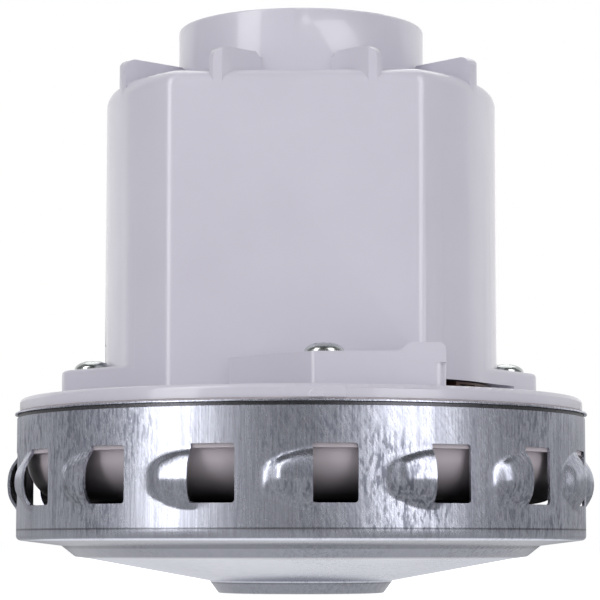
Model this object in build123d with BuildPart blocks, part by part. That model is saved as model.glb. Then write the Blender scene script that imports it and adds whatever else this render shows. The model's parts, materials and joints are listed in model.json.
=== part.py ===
"""Single-stage vacuum motor unit: universal motor under a white hood, with a louvred fan case below.

The origin lies on the shaft axis, on the plane of the inlet rim under the case. +Z points up
along the shaft, and the hood's flat front with the boss block faces -Y. Sizes are millimetres,
and angles about the shaft are degrees counted from -Y towards +X.
"""

from math import acos, asin, atan2, cos, degrees, radians, sin, sqrt
import os

from build123d import *

MM = 1.0

# Shared values
cut_overrun = 2.0 * MM          # how far a cutting solid passes a face
seat_play = 0.04 * MM           # between pieces that are pressed or set into each other
slip_play = 0.2 * MM            # between pieces that are dropped into each other
running_play = 0.05 * MM        # radial play of balls and brushes

# Fan case: pressed sheet can with louvred outlets
case_r = 65.5 * MM
case_wall = 0.6 * MM
case_top = 41.3 * MM
bead_height = 0.9 * MM          # rolled bead along the top edge
bead_depth = 0.5 * MM
groove_height = 0.4 * MM        # groove under the bead
groove_depth = 0.25 * MM
corner_round = 2.1 * MM
corner_height = 12.15 * MM
shoulder_width = 10.4 * MM
shoulder_height = 11.1 * MM
shoulder_round = 1.2 * MM
step_width = 3.1 * MM
step_height = 8.3 * MM
step_round = 1.4 * MM
ring_width = 3.6 * MM
ring_height = 7.8 * MM
cone_height = 2.8 * MM
cone_round = 1.0 * MM
collar_width = 2.1 * MM         # between the cone's foot and the rim
rim_width = 3.0 * MM
rim_round = 0.9 * MM
eye_r = 16.0 * MM
eye_lip_height = 4.0 * MM

outlet_count = 16
outlet_width = 9.5 * MM
outlet_bottom = 19.6 * MM
outlet_top = 31.9 * MM
outlet_corner = 0.8 * MM
first_outlet_edge = 4.2         # degrees to the lip beside the first outlet
louvre_rise = 2.3 * MM
louvre_length = 10.4 * MM
louvre_low_overlap = 1.4 * MM   # the lip starts below its outlet
louvre_high_inset = 0.7 * MM    # and ends under the outlet's top edge
louvre_flank = 4.0 * MM
louvre_mouth_overrun = 0.5 * MM
louvre_stations = (0.0, 0.16, 0.34, 1.0)            # along the louvre, from its narrow end to its lip
louvre_rise_shares = (0.12, 0.45, 0.78, 1.0)        # its rise there, as shares of the rise at the lip
louvre_height_shares = (0.42, 0.57, 0.72, 1.0)      # and its height, as shares of the height at the lip
louvre_flank_inset_share = 1.3              # flank wall measured along Z, as a share of the wall
louvre_arch_shares = (0.66, 0.26)           # softened flanks: share of the rise, share of the flank

# Hood: white moulding with two flats
hood_r = 45.5 * MM
hood_flat = 36.1 * MM
hood_wall = 2.2 * MM
hood_roof = 2.4 * MM
roof_lift = 10.0 * MM           # from the upper bracket's plate to the top of the roof
hood_corner = 4.2 * MM
hood_shoulder = 3.8 * MM
flange_inset = 0.6 * MM
flange_gap = 0.4 * MM           # between the case's bead and the flange
flange_thickness = 2.5 * MM
flange_round = 1.0 * MM
collar_r = 28.7 * MM
collar_wall = 2.0 * MM
collar_height = 15.0 * MM
collar_round = 0.6 * MM
collar_draft = 1.75             # degrees of taper on the collar's root, beside the ribs
collar_root_rise = 0.6 * MM     # how far the root reaches above the ribs
rib_thickness = 2.75 * MM
rib_height = 4.9 * MM
rib_offset = 12.7 * MM          # from the diagonal that a pair of ribs follows
rib_outer_round = 3.0 * MM
rib_inner_round = 1.1 * MM
rib_diagonals = (45.0, 135.0, 225.0, 315.0)
flat_side_diagonals = (45.0, 225.0)         # where a rib's positive side is the one by a flat
window_height = 3.0 * MM
window_start = 46.0
window_end = 84.0

# Screw lugs and boss block of the hood
lug_offset = 2.7 * MM           # from the hood's wall to the screws' circle
first_screw_angle = 8.0
lug_r = 7.2 * MM
lug_height = 6.6 * MM
lug_round = 1.0 * MM
lug_reach = 30.0                # degrees from a screw to where its lug's wall leaves the hood
driver_recess_height = 6.0 * MM
driver_play = 0.15 * MM
block_height = 7.4 * MM
block_step = 1.8 * MM
block_left = 14.4 * MM
block_corner = 4.5 * MM
block_right = 32.5 * MM
block_rise_start = 22.8 * MM
block_rise_end = 24.8 * MM
block_reach = 6.8 * MM          # from the screws' circle to the block's face
block_round = 2.5 * MM
block_high_round = 1.6 * MM
screw_r = 2.0 * MM
screw_head_r = 4.3 * MM
screw_head_height = 2.3 * MM
screw_head_edge = 0.5 * MM
screw_length = 16.0 * MM
recess_length = 4.8 * MM
recess_width = 1.1 * MM
recess_depth = 1.2 * MM

# Bracket: dish under the hood
dish_wall = 2.3 * MM
skirt_length = 10.7 * MM
dish_inset = 1.66 * MM          # from the skirt's outside to the dish's
dish_round = 10.4 * MM
dish_depth = 10.7 * MM
boss_r = 4.6 * MM
post_r = 3.4 * MM
post_inset = 3.7 * MM           # from the hood's inside to the posts' circle
post_angle = 42.0
bracket_rib = 1.8 * MM
bracket_rib_height = 5.0 * MM
bracket_rib_count = 8
hub_wall = 3.0 * MM
hub_floor = 3.5 * MM

# Ball bearings, both alike
bearing_r = 11.0 * MM
bearing_width = 7.0 * MM
ring_wall = 2.05 * MM           # of the inner and of the outer ring
race_depth = 0.53 * MM
ball_count = 7
cage_thickness = 1.2 * MM
cage_low = 0.8 * MM
cage_high = 2.7 * MM
cage_play = 0.1 * MM
bearing_lip = 0.45 * MM         # overlap of a seat or a retainer with the outer ring's inside
retainer_width = 4.6 * MM
retainer_thickness = 1.2 * MM
retainer_screw_offset = 1.6 * MM
retainer_boss_r = 3.0 * MM
retainer_screw_r = 1.2 * MM
retainer_head_r = 2.2 * MM
retainer_head_height = 1.4 * MM
retainer_screw_length = 7.0 * MM
retainer_screw_count = 3

# Stator
stack_lift = 5.8 * MM           # from the flange's top to the stack
stack_height = 30.0 * MM
yoke_thickness = 7.0 * MM
pole_half_width = 11.0 * MM
pole_tip_span = 124.0
pole_tip_depth = 2.6 * MM
air_gap = 0.6 * MM
coil_end_length = 5.5 * MM
coil_side = 6.5 * MM
coil_gap = 1.2 * MM             # from the pole tip to the coil
coil_width = 4.4 * MM
coil_corner = 3.0 * MM
coil_frame_wall = 0.7 * MM
coil_play = 0.1 * MM
stator_screw_r = 2.0 * MM
stator_screw_head_r = 3.3 * MM
stator_screw_head_height = 2.4 * MM
stator_screw_grip = 16.0 * MM

# Rotor
shaft_r = 4.0 * MM
shaft_step = 1.0 * MM
shaft_lower_end = 2.4 * MM      # how far the shaft passes its nuts
shaft_upper_end = 1.2 * MM
shaft_chamfer = 0.5 * MM
armature_r = 21.0 * MM
armature_slots = 12
armature_slot_width = 2.0 * MM
armature_slot_depth = 8.0 * MM
winding_inset = 2.0 * MM
winding_inner_step = 1.6 * MM
winding_end_length = 6.5 * MM
winding_round = 3.0 * MM
winding_play = 0.1 * MM
commutator_r = 11.5 * MM
commutator_lift = 8.0 * MM
commutator_height = 14.0 * MM
commutator_bar_depth = 2.6 * MM
commutator_bar_count = 24
commutator_bar_share = 0.84     # of the pitch that a bar fills
riser_height = 1.8 * MM
riser_depth = 1.2 * MM
riser_share = 0.4               # of the pitch that a riser fills

# Upper bracket, brushes and their holders
upper_plate_lift = 23.0 * MM    # from the stack to the plate
upper_plate_thickness = 3.0 * MM
seat_floor = 1.4 * MM
seat_bore_play = 2.0 * MM
seat_wall = 2.2 * MM
rubber_wall = 1.4 * MM
air_slot_count = 4
first_air_slot = 45.0
air_slot_inner_r = 17.0 * MM
air_slot_outer_r = 30.0 * MM
air_slot_span = 44.0
brush_lift = 8.0 * MM           # from the commutator's foot to the brushes' middle
brush_width = 6.5 * MM
brush_height = 11.0 * MM
brush_length = 19.0 * MM
holder_wall = 0.8 * MM
holder_play = 0.15 * MM
holder_stand_off = 2.7 * MM     # from the commutator
holder_inset = 2.1 * MM         # from the stator's outside
sleeve_wall = 1.6 * MM
sleeve_inset_inner = 2.8 * MM
sleeve_inset_outer = 3.0 * MM
cap_thickness = 1.0 * MM
cap_plug_depth = 0.6 * MM
spring_r = 2.3 * MM
spring_wire_r = 0.35 * MM
spring_turns = 4

# Cooling fan in the collar
fan_nose_wall = 2.0 * MM
fan_nose_height = 2.4 * MM
fan_hub_step = 3.0 * MM
fan_hub_height = 10.4 * MM
fan_gap = 1.5 * MM
fan_blade_count = 8
fan_blade_root = 1.0 * MM       # how deep a blade is rooted in the hub
fan_root_chord = 10.5 * MM
fan_tip_chord = 12.5 * MM
fan_blade_thickness = 1.3 * MM
fan_root_pitch = 52.0
fan_tip_pitch = 34.0
fan_nut_height = 3.0 * MM
fan_nut_flats = 12.0 * MM

# Suction impeller
impeller_clearance = 13.5 * MM  # from the case's wall
impeller_sheet = 0.8 * MM
impeller_gap = 0.6 * MM         # under the bracket's dish
impeller_outlet = 6.6 * MM
impeller_eye_width = 1.4 * MM
impeller_eye_gap = 0.8 * MM
impeller_eye_height = 2.4 * MM
impeller_eye_round = 2.0 * MM
vane_count = 7
vane_inner_inset = 2.1 * MM
vane_outer_inset = 1.5 * MM
vane_sweep = 62.0
vane_middle_shares = (0.5, 0.4)     # middle of a vane: share of its radial length, of its sweep
vane_play = 0.05 * MM
spacer_wall = 3.0 * MM
washer_wall = 7.0 * MM
washer_thickness = 1.2 * MM
impeller_nut_height = 5.0 * MM
impeller_nut_flats = 13.0 * MM

# Terminal block in the low window
terminal_depth = 6.9 * MM
terminal_recess = 0.7 * MM
terminal_start = 52.0
terminal_end = 76.0
terminal_height = 2.7 * MM
tab_width = 4.8 * MM
tab_thickness = 0.8 * MM
tab_length = 5.2 * MM
tab_angles = (58.0, 70.0)
tab_pocket_depth = 4.0 * MM
tab_pocket_width = 6.4 * MM
tab_pocket_height = 1.7 * MM

# Worked out: fan case
rim_r = eye_r + rim_width
cone_r = rim_r + collar_width
shoulder_r = case_r - shoulder_width
step_r = shoulder_r - step_width
ring_r = step_r - ring_width
case_cut_depth = case_wall + cut_overrun

# Worked out: heights from the case up
flange_bottom = case_top + flange_gap
flange_top = flange_bottom + flange_thickness
lug_top = flange_top + lug_height
block_top = flange_top + block_height
block_high = block_top + block_step
stack_bottom = flange_top + stack_lift
stack_top = stack_bottom + stack_height
commutator_bottom = stack_top + commutator_lift
brush_centre_z = commutator_bottom + brush_lift
upper_plate_bottom = stack_top + upper_plate_lift
upper_plate_top = upper_plate_bottom + upper_plate_thickness
upper_bearing_z = upper_plate_bottom + seat_floor
hood_top = upper_plate_top + roof_lift
rib_top = hood_top + rib_height
collar_top = hood_top + collar_height
fan_bottom = upper_bearing_z + bearing_width + fan_nose_height
fan_top = fan_bottom + fan_hub_height
shaft_top = fan_top + fan_nut_height + shaft_upper_end

# Worked out: heights from the flange down
skirt_bottom = flange_bottom - skirt_length
dish_bottom = skirt_bottom - dish_depth
dish_floor = dish_bottom + dish_wall
lower_bearing_z = dish_bottom + hub_floor
hub_top = lower_bearing_z + bearing_width
backplate_top = dish_bottom - impeller_gap
backplate_bottom = backplate_top - impeller_sheet
shroud_rim_z = backplate_bottom - impeller_outlet
impeller_eye_bottom = eye_lip_height + impeller_eye_gap
impeller_eye_top = impeller_eye_bottom + impeller_eye_height
shaft_bottom = backplate_bottom - washer_thickness - impeller_nut_height - shaft_lower_end

# Worked out: radii
flange_r = case_r - flange_inset
hood_inner_r = hood_r - hood_wall
hood_inner_flat = hood_flat - hood_wall
hood_inner_corner = hood_corner - hood_wall
collar_inner_r = collar_r - collar_wall
screw_circle_r = hood_r + lug_offset
block_face = screw_circle_r + block_reach
skirt_r = case_r - case_wall - seat_play
dish_r = skirt_r - dish_inset
hub_r = bearing_r + hub_wall
inner_ring_r = shaft_r + ring_wall
outer_ring_bore_r = bearing_r - ring_wall
ball_circle_r = (inner_ring_r + outer_ring_bore_r) / 2
ball_r = (outer_ring_bore_r - inner_ring_r) / 2 + race_depth
hub_bore_r = outer_ring_bore_r - bearing_lip
retainer_bore_r = outer_ring_bore_r + bearing_lip
retainer_r = hub_r + retainer_width
retainer_screw_circle_r = hub_r + retainer_screw_offset
stator_r = hood_inner_r - slip_play
stator_flat = hood_inner_flat - slip_play
stator_corner = hood_inner_corner
yoke_r = stator_r - yoke_thickness
yoke_flat = stator_flat - yoke_thickness
post_circle_r = hood_inner_r - post_inset
stator_bore_r = armature_r + air_gap
coil_inner_x = stator_bore_r + pole_tip_depth + coil_gap
coil_outer_x = coil_inner_x + coil_width
shaft_body_r = shaft_r + shaft_step
seat_bore_r = shaft_body_r + seat_bore_play
winding_r = armature_r - winding_inset
winding_inner_r = shaft_body_r + winding_inner_step
holder_inner_x = commutator_r + holder_stand_off
holder_outer_x = stator_r - holder_inset
sleeve_inner_x = holder_inner_x + sleeve_inset_inner
sleeve_outer_x = holder_outer_x - sleeve_inset_outer
fan_nose_r = shaft_r + fan_nose_wall
fan_hub_r = fan_nose_r + fan_hub_step
fan_r = collar_inner_r - fan_gap
impeller_r = case_r - impeller_clearance
impeller_eye_r = eye_r + impeller_eye_width
vane_inner_r = impeller_eye_r + vane_inner_inset
vane_outer_r = impeller_r - vane_outer_inset
spacer_r = shaft_r + spacer_wall
washer_r = shaft_r + washer_wall
terminal_inner_r = hood_r - terminal_depth
post_angles = [post_angle, 180 - post_angle, 180 + post_angle, 360 - post_angle]
screw_angles = [first_screw_angle + 90 * quarter for quarter in range(4)]


def around(radius, angle, height=0.0):
    """Point at a radius and an angle counted from -Y towards +X."""
    return (radius * sin(radians(angle)), -radius * cos(radians(angle)), height)


def radial_plane(angle):
    """Plane through the shaft axis: its x runs outwards at the angle, its y runs up."""
    return Plane(origin=(0, 0, 0), x_dir=around(1, angle), z_dir=(-cos(radians(angle)), -sin(radians(angle)), 0))


def hood_outline(radius, flat, corner):
    """Circle with two flats and rounded corners, the plan shape of the hood and what lies in it."""
    Circle(radius)
    Rectangle(2 * radius, 2 * flat, mode=Mode.INTERSECT)
    corners = [v for v in sketch_vertices() if abs(v.Y) > radius / 2]
    fillet(corners, radius=corner)


def sketch_vertices():
    """Vertices of the sketch that is being drawn."""
    return BuildSketch._get_context().vertices()


def ring_sector(inner_r, outer_r, start, span):
    """Sector of a ring in the plan view, from a start angle over a span, both counted from -Y."""
    with BuildLine() as sector:
        outer_arc = CenterArc((0, 0), outer_r, start - 90, span)
        inner_arc = CenterArc((0, 0), inner_r, start - 90, span)
        Line(outer_arc @ 0, inner_arc @ 0)
        Line(outer_arc @ 1, inner_arc @ 1)
    make_face(sector.edges())


def save(builder, name):
    """Label a finished piece and write it out."""
    builder.part.label = name
    export_step(builder.part, "parts/" + name + ".step")


os.makedirs("parts", exist_ok=True)


# Fan case: one sheet profile turned about the axis, with a rolled bead on its top edge.
# Each louvre is a hollow bulge that grows towards an open lip beside its outlet.
def louvre_section(rise_share, height_share, inset, base_depth):
    """Outline of a louvre at one station, set in by the inset for the hollow under the sheet."""
    low_end = outlet_bottom - louvre_low_overlap
    high_end = outlet_top - louvre_high_inset
    middle = (low_end + high_end) / 2
    low = middle - (middle - low_end) * height_share + inset * louvre_flank_inset_share
    high = middle + (high_end - middle) * height_share - inset * louvre_flank_inset_share
    foot = case_r - inset
    crown = case_r + louvre_rise * rise_share - inset
    base = case_r - base_depth
    flank = louvre_flank * height_share
    arch_rise, arch_flank = louvre_arch_shares
    shoulder = foot + (crown - foot) * arch_rise
    return [
        (base, low),
        (foot, low),
        (shoulder, low + flank * arch_flank),
        (crown, low + flank),
        (crown, high - flank),
        (shoulder, high - flank * arch_flank),
        (foot, high),
        (base, high),
    ]


def louvre_angle(share):
    """Angle of a station along the louvre, from its narrow end to its lip."""
    return first_outlet_edge - degrees(louvre_length / case_r) * (1 - share)


stations = list(zip(louvre_stations, louvre_rise_shares, louvre_height_shares))
mouth_angle = first_outlet_edge + degrees(louvre_mouth_overrun / case_r)

with BuildPart() as louvre_bulge:
    for share, rise_share, height_share in stations:
        with BuildSketch(radial_plane(louvre_angle(share))):
            Polygon(*louvre_section(rise_share, height_share, 0, case_wall / 2), align=None)
    loft(ruled=True)

with BuildPart() as louvre_hollow:
    for share, rise_share, height_share in stations:
        with BuildSketch(radial_plane(louvre_angle(share))):
            Polygon(*louvre_section(rise_share, height_share, case_wall, case_cut_depth), align=None)
    with BuildSketch(radial_plane(mouth_angle)):
        Polygon(*louvre_section(1.0, 1.0, case_wall, case_cut_depth), align=None)
    loft(ruled=True)

with BuildPart() as outlet_cut:
    outlet_middle = first_outlet_edge + degrees(asin(outlet_width / 2 / case_r))
    outlet_centre_z = (outlet_bottom + outlet_top) / 2
    outward = Vector(*around(1, outlet_middle))
    outlet_plane = Plane(
        origin=around(case_r, outlet_middle, outlet_centre_z),
        x_dir=(cos(radians(outlet_middle)), sin(radians(outlet_middle)), 0),
        z_dir=outward,
    )
    with BuildSketch(outlet_plane):
        RectangleRounded(outlet_width, outlet_top - outlet_bottom, outlet_corner)
    extrude(amount=cut_overrun, both=True)

with BuildPart() as fan_case:
    with BuildSketch(Plane.XZ):
        with BuildLine():
            FilletPolyline(
                (eye_r, eye_lip_height),
                (eye_r, 0),
                (rim_r, 0),
                (cone_r, cone_height),
                (ring_r, ring_height),
                (step_r, step_height),
                (shoulder_r, shoulder_height),
                (case_r, corner_height),
                (case_r, case_top),
                radius=[
                    rim_round,
                    rim_round,
                    cone_round,
                    cone_round,
                    step_round,
                    shoulder_round,
                    corner_round,
                ],
            )
            offset(amount=case_wall, side=Side.LEFT)
        make_face()
    revolve(axis=Axis.Z)
    with BuildSketch(Plane.XY.offset(case_top - bead_height)):
        Circle(case_r + bead_depth)
        Circle(case_r - case_wall / 2, mode=Mode.SUBTRACT)
    extrude(amount=bead_height)
    with BuildSketch(Plane.XY.offset(case_top - bead_height - groove_height)):
        Circle(case_r + cut_overrun)
        Circle(case_r - groove_depth, mode=Mode.SUBTRACT)
    extrude(amount=groove_height, mode=Mode.SUBTRACT)
    with PolarLocations(0, outlet_count):
        add(louvre_bulge.part)
    with PolarLocations(0, outlet_count):
        add(louvre_hollow.part, mode=Mode.SUBTRACT)
    with PolarLocations(0, outlet_count):
        add(outlet_cut.part, mode=Mode.SUBTRACT)
save(fan_case, "fan_case")


# Fan bracket: a dish pressed into the case, with the bearing hub, screw bosses and stator posts.
with BuildPart() as fan_bracket:
    with BuildSketch(Plane.XZ):
        with BuildLine():
            floor_edge = dish_r - dish_round
            Polyline(
                (floor_edge, dish_bottom),
                (hub_bore_r, dish_bottom),
                (hub_bore_r, dish_floor),
                (floor_edge, dish_floor),
            )
            TangentArc(
                (floor_edge, dish_floor),
                (dish_r - dish_wall, dish_bottom + dish_round),
                tangent=(1, 0),
            )
            Polyline(
                (dish_r - dish_wall, dish_bottom + dish_round),
                (dish_r - dish_wall, skirt_bottom + dish_wall),
                (skirt_r - dish_wall, skirt_bottom + dish_wall),
                (skirt_r - dish_wall, flange_bottom),
                (skirt_r, flange_bottom),
                (skirt_r, skirt_bottom),
                (dish_r, skirt_bottom),
                (dish_r, dish_bottom + dish_round),
            )
            TangentArc(
                (floor_edge, dish_bottom),
                (dish_r, dish_bottom + dish_round),
                tangent=(1, 0),
            )
        make_face()
    revolve(axis=Axis.Z)
    with BuildSketch(Plane.XY.offset(dish_bottom)):
        Circle(hub_r)
        with PolarLocations(retainer_screw_circle_r, retainer_screw_count):
            Circle(retainer_boss_r)
        Circle(hub_bore_r, mode=Mode.SUBTRACT)
    extrude(amount=hub_top - dish_bottom)
    with BuildSketch(Plane.XY.offset(lower_bearing_z)):
        Circle(bearing_r + seat_play)
    extrude(amount=bearing_width, mode=Mode.SUBTRACT)
    with BuildSketch(Plane.XY.offset(dish_floor)):
        with PolarLocations((hub_r + floor_edge) / 2, bracket_rib_count, start_angle=first_screw_angle / 2):
            Rectangle(floor_edge - hub_r + dish_wall, bracket_rib)
    extrude(amount=bracket_rib_height)
    with BuildSketch(Plane.XY.offset(dish_floor - dish_wall / 2)):
        with Locations(*[around(post_circle_r, angle) for angle in post_angles]):
            Circle(post_r)
    extrude(amount=stack_bottom - dish_floor + dish_wall / 2)
    with BuildSketch(Plane.XY.offset(dish_floor - dish_wall / 2)):
        with Locations(*[around(screw_circle_r, angle) for angle in screw_angles]):
            Circle(boss_r)
    extrude(amount=flange_bottom - dish_floor + dish_wall / 2)
    with BuildSketch(Plane.XY.offset(stack_bottom)):
        with Locations(*[around(post_circle_r, angle) for angle in post_angles]):
            Circle(stator_screw_r + seat_play)
    extrude(amount=-stator_screw_grip, mode=Mode.SUBTRACT)
    with BuildSketch(Plane.XY.offset(flange_bottom)):
        with Locations(*[around(screw_circle_r, angle) for angle in screw_angles]):
            Circle(screw_r + seat_play)
    extrude(amount=-screw_length, mode=Mode.SUBTRACT)
    with BuildSketch(Plane.XY.offset(hub_top)):
        with PolarLocations(retainer_screw_circle_r, retainer_screw_count):
            Circle(retainer_screw_r + seat_play)
    extrude(amount=-retainer_screw_length, mode=Mode.SUBTRACT)
save(fan_bracket, "fan_bracket")


# Motor hood: one moulding of flange, flatted wall, roof, collar, ribs, screw lugs and boss block.
with BuildPart() as lug_pad:
    lug_foot_x = hood_r * sin(radians(lug_reach))
    lug_foot_y = -hood_r * cos(radians(lug_reach))
    foot_distance = sqrt(lug_foot_x**2 + (lug_foot_y + screw_circle_r) ** 2)
    touch_angle = atan2(lug_foot_y + screw_circle_r, lug_foot_x) - acos(lug_r / foot_distance)
    touch_x = lug_r * cos(touch_angle)
    touch_y = lug_r * sin(touch_angle) - screw_circle_r
    with BuildSketch(Plane.XY.offset(flange_top - flange_thickness / 2)):
        Polygon(
            (-lug_foot_x, lug_foot_y),
            (-touch_x, touch_y),
            (touch_x, touch_y),
            (lug_foot_x, lug_foot_y),
            align=None,
        )
        with Locations((0, -screw_circle_r)):
            Circle(lug_r)
    extrude(amount=lug_top - flange_top + flange_thickness / 2)
    fillet(lug_pad.faces().sort_by(Axis.Z)[-1].edges(), radius=lug_round)

with BuildPart() as boss_block:
    with BuildSketch(Plane.XY.offset(flange_top - flange_thickness / 2)):
        Polygon(
            (-block_left, -hood_flat),
            (block_corner, -block_face),
            (block_right, -block_face),
            (block_right, -hood_flat / 2),
            (-block_left, -hood_flat / 2),
            align=None,
        )
        fillet([v for v in sketch_vertices() if v.Y < -block_face + block_round], block_round)
    extrude(amount=block_top - flange_top + flange_thickness / 2)
    with BuildSketch(Plane.XZ.offset(block_face)):
        Polygon(
            (block_rise_start, block_top - block_round),
            (block_rise_start, block_top),
            (block_rise_end, block_high),
            (block_right, block_high),
            (block_right, block_top - block_round),
            align=None,
        )
        fillet([v for v in sketch_vertices() if v.X > block_rise_end and v.Y > block_top], block_high_round)
    extrude(amount=-block_face + hood_flat / 2, mode=Mode.ADD)

with BuildPart() as hood_envelope:
    with BuildSketch(Plane.XY.offset(flange_bottom)):
        hood_outline(hood_r, hood_flat, hood_corner)
    extrude(amount=rib_top - flange_bottom)

with BuildPart() as rib_set:
    for diagonal in rib_diagonals:
        for side in (-1, 1):
            rib_foot_r = sqrt((collar_r - collar_wall / 2) ** 2 - rib_offset**2)
            rib_touch_r = sqrt(collar_r**2 - rib_offset**2)
            outline_r = sqrt(hood_r**2 - rib_offset**2)
            flat_r = hood_flat * sqrt(2) - rib_offset
            towards_flat = side * (1 if diagonal in flat_side_diagonals else -1) > 0
            rib_end = flat_r if towards_flat else outline_r
            diagonal_plane = radial_plane(diagonal).offset(side * rib_offset + rib_thickness / 2)
            with BuildSketch(diagonal_plane):
                Polygon(
                    (rib_foot_r, hood_top - hood_shoulder),
                    (rib_foot_r, rib_top - rib_inner_round),
                    (rib_touch_r, rib_top - rib_inner_round),
                    (rib_touch_r + rib_inner_round, rib_top),
                    (rib_end, rib_top),
                    (rib_end, hood_top - hood_shoulder),
                    align=None,
                )
                fillet(
                    [v for v in sketch_vertices() if v.X > rib_end - cut_overrun and v.Y > hood_top],
                    rib_outer_round,
                )
            extrude(amount=-rib_thickness)
    add(hood_envelope.part, mode=Mode.INTERSECT)

with BuildPart() as hood_shell:
    with BuildSketch(Plane.XY.offset(flange_bottom)):
        hood_outline(hood_r, hood_flat, hood_corner)
    extrude(amount=hood_top - flange_bottom)
    fillet(hood_shell.faces().sort_by(Axis.Z)[-1].edges(), radius=hood_shoulder)
    with BuildSketch(Plane.XY.offset(hood_top - hood_roof)):
        Circle(collar_r)
    extrude(amount=collar_top - hood_top + hood_roof)
    fillet(hood_shell.faces().sort_by(Axis.Z)[-1].edges(), radius=collar_round)
    with BuildSketch(Plane.XY.offset(rib_top + collar_root_rise)):
        Circle(collar_r)
    extrude(amount=-collar_root_rise - rib_height - hood_roof, taper=-collar_draft)

with BuildPart() as motor_hood:
    with BuildSketch(Plane.XY.offset(flange_bottom)):
        Circle(flange_r)
    extrude(amount=flange_thickness)
    fillet(motor_hood.faces().sort_by(Axis.Z)[-1].edges(), radius=flange_round)
    add(hood_shell.part)
    add(rib_set.part)
    for angle in screw_angles[1:]:
        add(lug_pad.part, rotation=(0, 0, angle))
    add(boss_block.part)
    with BuildSketch(Plane.XY.offset(collar_top)):
        Circle(collar_inner_r)
    extrude(amount=-(collar_top - hood_top + hood_roof + cut_overrun), mode=Mode.SUBTRACT)
    with BuildSketch(Plane.XY.offset(flange_bottom)):
        hood_outline(hood_inner_r, hood_inner_flat, hood_inner_corner)
    extrude(amount=hood_top - hood_roof - flange_bottom, mode=Mode.SUBTRACT)
    with BuildSketch(Plane.XY.offset(lug_top)):
        with Locations(*[around(screw_circle_r, angle) for angle in screw_angles[1:]]):
            Circle(screw_head_r + driver_play)
    extrude(amount=driver_recess_height, mode=Mode.SUBTRACT)
    with BuildSketch(Plane.XY.offset(flange_bottom)):
        with Locations(*[around(screw_circle_r, angle) for angle in screw_angles]):
            Circle(screw_r + slip_play)
    extrude(amount=block_high - flange_bottom, mode=Mode.SUBTRACT)
    for turn in (0, 180):
        with BuildSketch(Plane.XY.offset(flange_top)):
            ring_sector(hood_inner_r - cut_overrun, flange_r, window_start + turn, window_end - window_start)
        extrude(amount=window_height, mode=Mode.SUBTRACT)
save(motor_hood, "motor_hood")


# Hood screws: pan heads with a cross recess, one at the block and three on the lugs.
with BuildPart() as screw_blank:
    with BuildSketch(Plane.XZ):
        with BuildLine():
            shank = Polyline(
                (0, screw_head_height),
                (0, -screw_length),
                (screw_r, -screw_length),
                (screw_r, 0),
                (screw_head_r, 0),
                (screw_head_r, screw_head_edge),
            )
            TangentArc((0, screw_head_height), shank @ 1, tangent=(1, 0))
        make_face()
    revolve(axis=Axis.Z)
    with BuildSketch(Plane.XY.offset(screw_head_height)):
        Rectangle(recess_length, recess_width)
        Rectangle(recess_width, recess_length)
    extrude(amount=-recess_depth, mode=Mode.SUBTRACT)

with BuildPart() as hood_screws:
    for angle, seat in zip(screw_angles, (block_top, lug_top, lug_top, lug_top)):
        with Locations(around(screw_circle_r, angle, seat)):
            add(screw_blank.part)
save(hood_screws, "hood_screws")


# Ball bearings: two alike, each an outer ring, an inner ring, balls and a crown cage.
def bearing(name, bottom):
    """The four pieces of one ball bearing that stands on a height."""
    middle = bottom + bearing_width / 2
    groove_r = ball_r + running_play
    with BuildPart() as outer_ring:
        with BuildSketch(Plane.XZ):
            with Locations(((outer_ring_bore_r + bearing_r) / 2, middle)):
                Rectangle(bearing_r - outer_ring_bore_r, bearing_width)
            with Locations((ball_circle_r, middle)):
                Circle(groove_r, mode=Mode.SUBTRACT)
        revolve(axis=Axis.Z)
    save(outer_ring, name + "_bearing_outer_ring")
    with BuildPart() as inner_ring:
        with BuildSketch(Plane.XZ):
            with Locations(((shaft_r + seat_play + inner_ring_r) / 2, middle)):
                Rectangle(inner_ring_r - shaft_r - seat_play, bearing_width)
            with Locations((ball_circle_r, middle)):
                Circle(groove_r, mode=Mode.SUBTRACT)
        revolve(axis=Axis.Z)
    save(inner_ring, name + "_bearing_inner_ring")
    with BuildPart() as balls:
        with Locations((0, 0, middle)):
            with PolarLocations(ball_circle_r, ball_count):
                Sphere(ball_r)
    save(balls, name + "_bearing_balls")
    with BuildPart() as cage:
        with BuildSketch(Plane.XY.offset(middle - cage_low)):
            Circle(ball_circle_r + cage_thickness / 2)
            Circle(ball_circle_r - cage_thickness / 2, mode=Mode.SUBTRACT)
        extrude(amount=cage_low + cage_high)
        with Locations((0, 0, middle)):
            with PolarLocations(ball_circle_r, ball_count):
                Sphere(ball_r + cage_play, mode=Mode.SUBTRACT)
    save(cage, name + "_bearing_cage")


bearing("lower", lower_bearing_z)
bearing("upper", upper_bearing_z)


# Retainer plate over the lower bearing, with its screws.
with BuildPart() as bearing_retainer:
    with BuildSketch(Plane.XY.offset(hub_top)):
        Circle(retainer_r)
        Circle(retainer_bore_r, mode=Mode.SUBTRACT)
        with PolarLocations(retainer_screw_circle_r, retainer_screw_count):
            Circle(retainer_screw_r + seat_play, mode=Mode.SUBTRACT)
    extrude(amount=retainer_thickness)
save(bearing_retainer, "bearing_retainer")

with BuildPart() as retainer_screws:
    with BuildSketch(Plane.XY.offset(hub_top + retainer_thickness)):
        with PolarLocations(retainer_screw_circle_r, retainer_screw_count):
            Circle(retainer_screw_r)
    extrude(amount=-retainer_screw_length)
    with BuildSketch(Plane.XY.offset(hub_top + retainer_thickness)):
        with PolarLocations(retainer_screw_circle_r, retainer_screw_count):
            Circle(retainer_head_r)
    extrude(amount=retainer_head_height)
save(retainer_screws, "retainer_screws")


# Stator: laminated stack with two poles on the X axis, its coils and their insulating frames.
with BuildSketch() as slot_window:
    hood_outline(yoke_r, yoke_flat, stator_corner)

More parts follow.
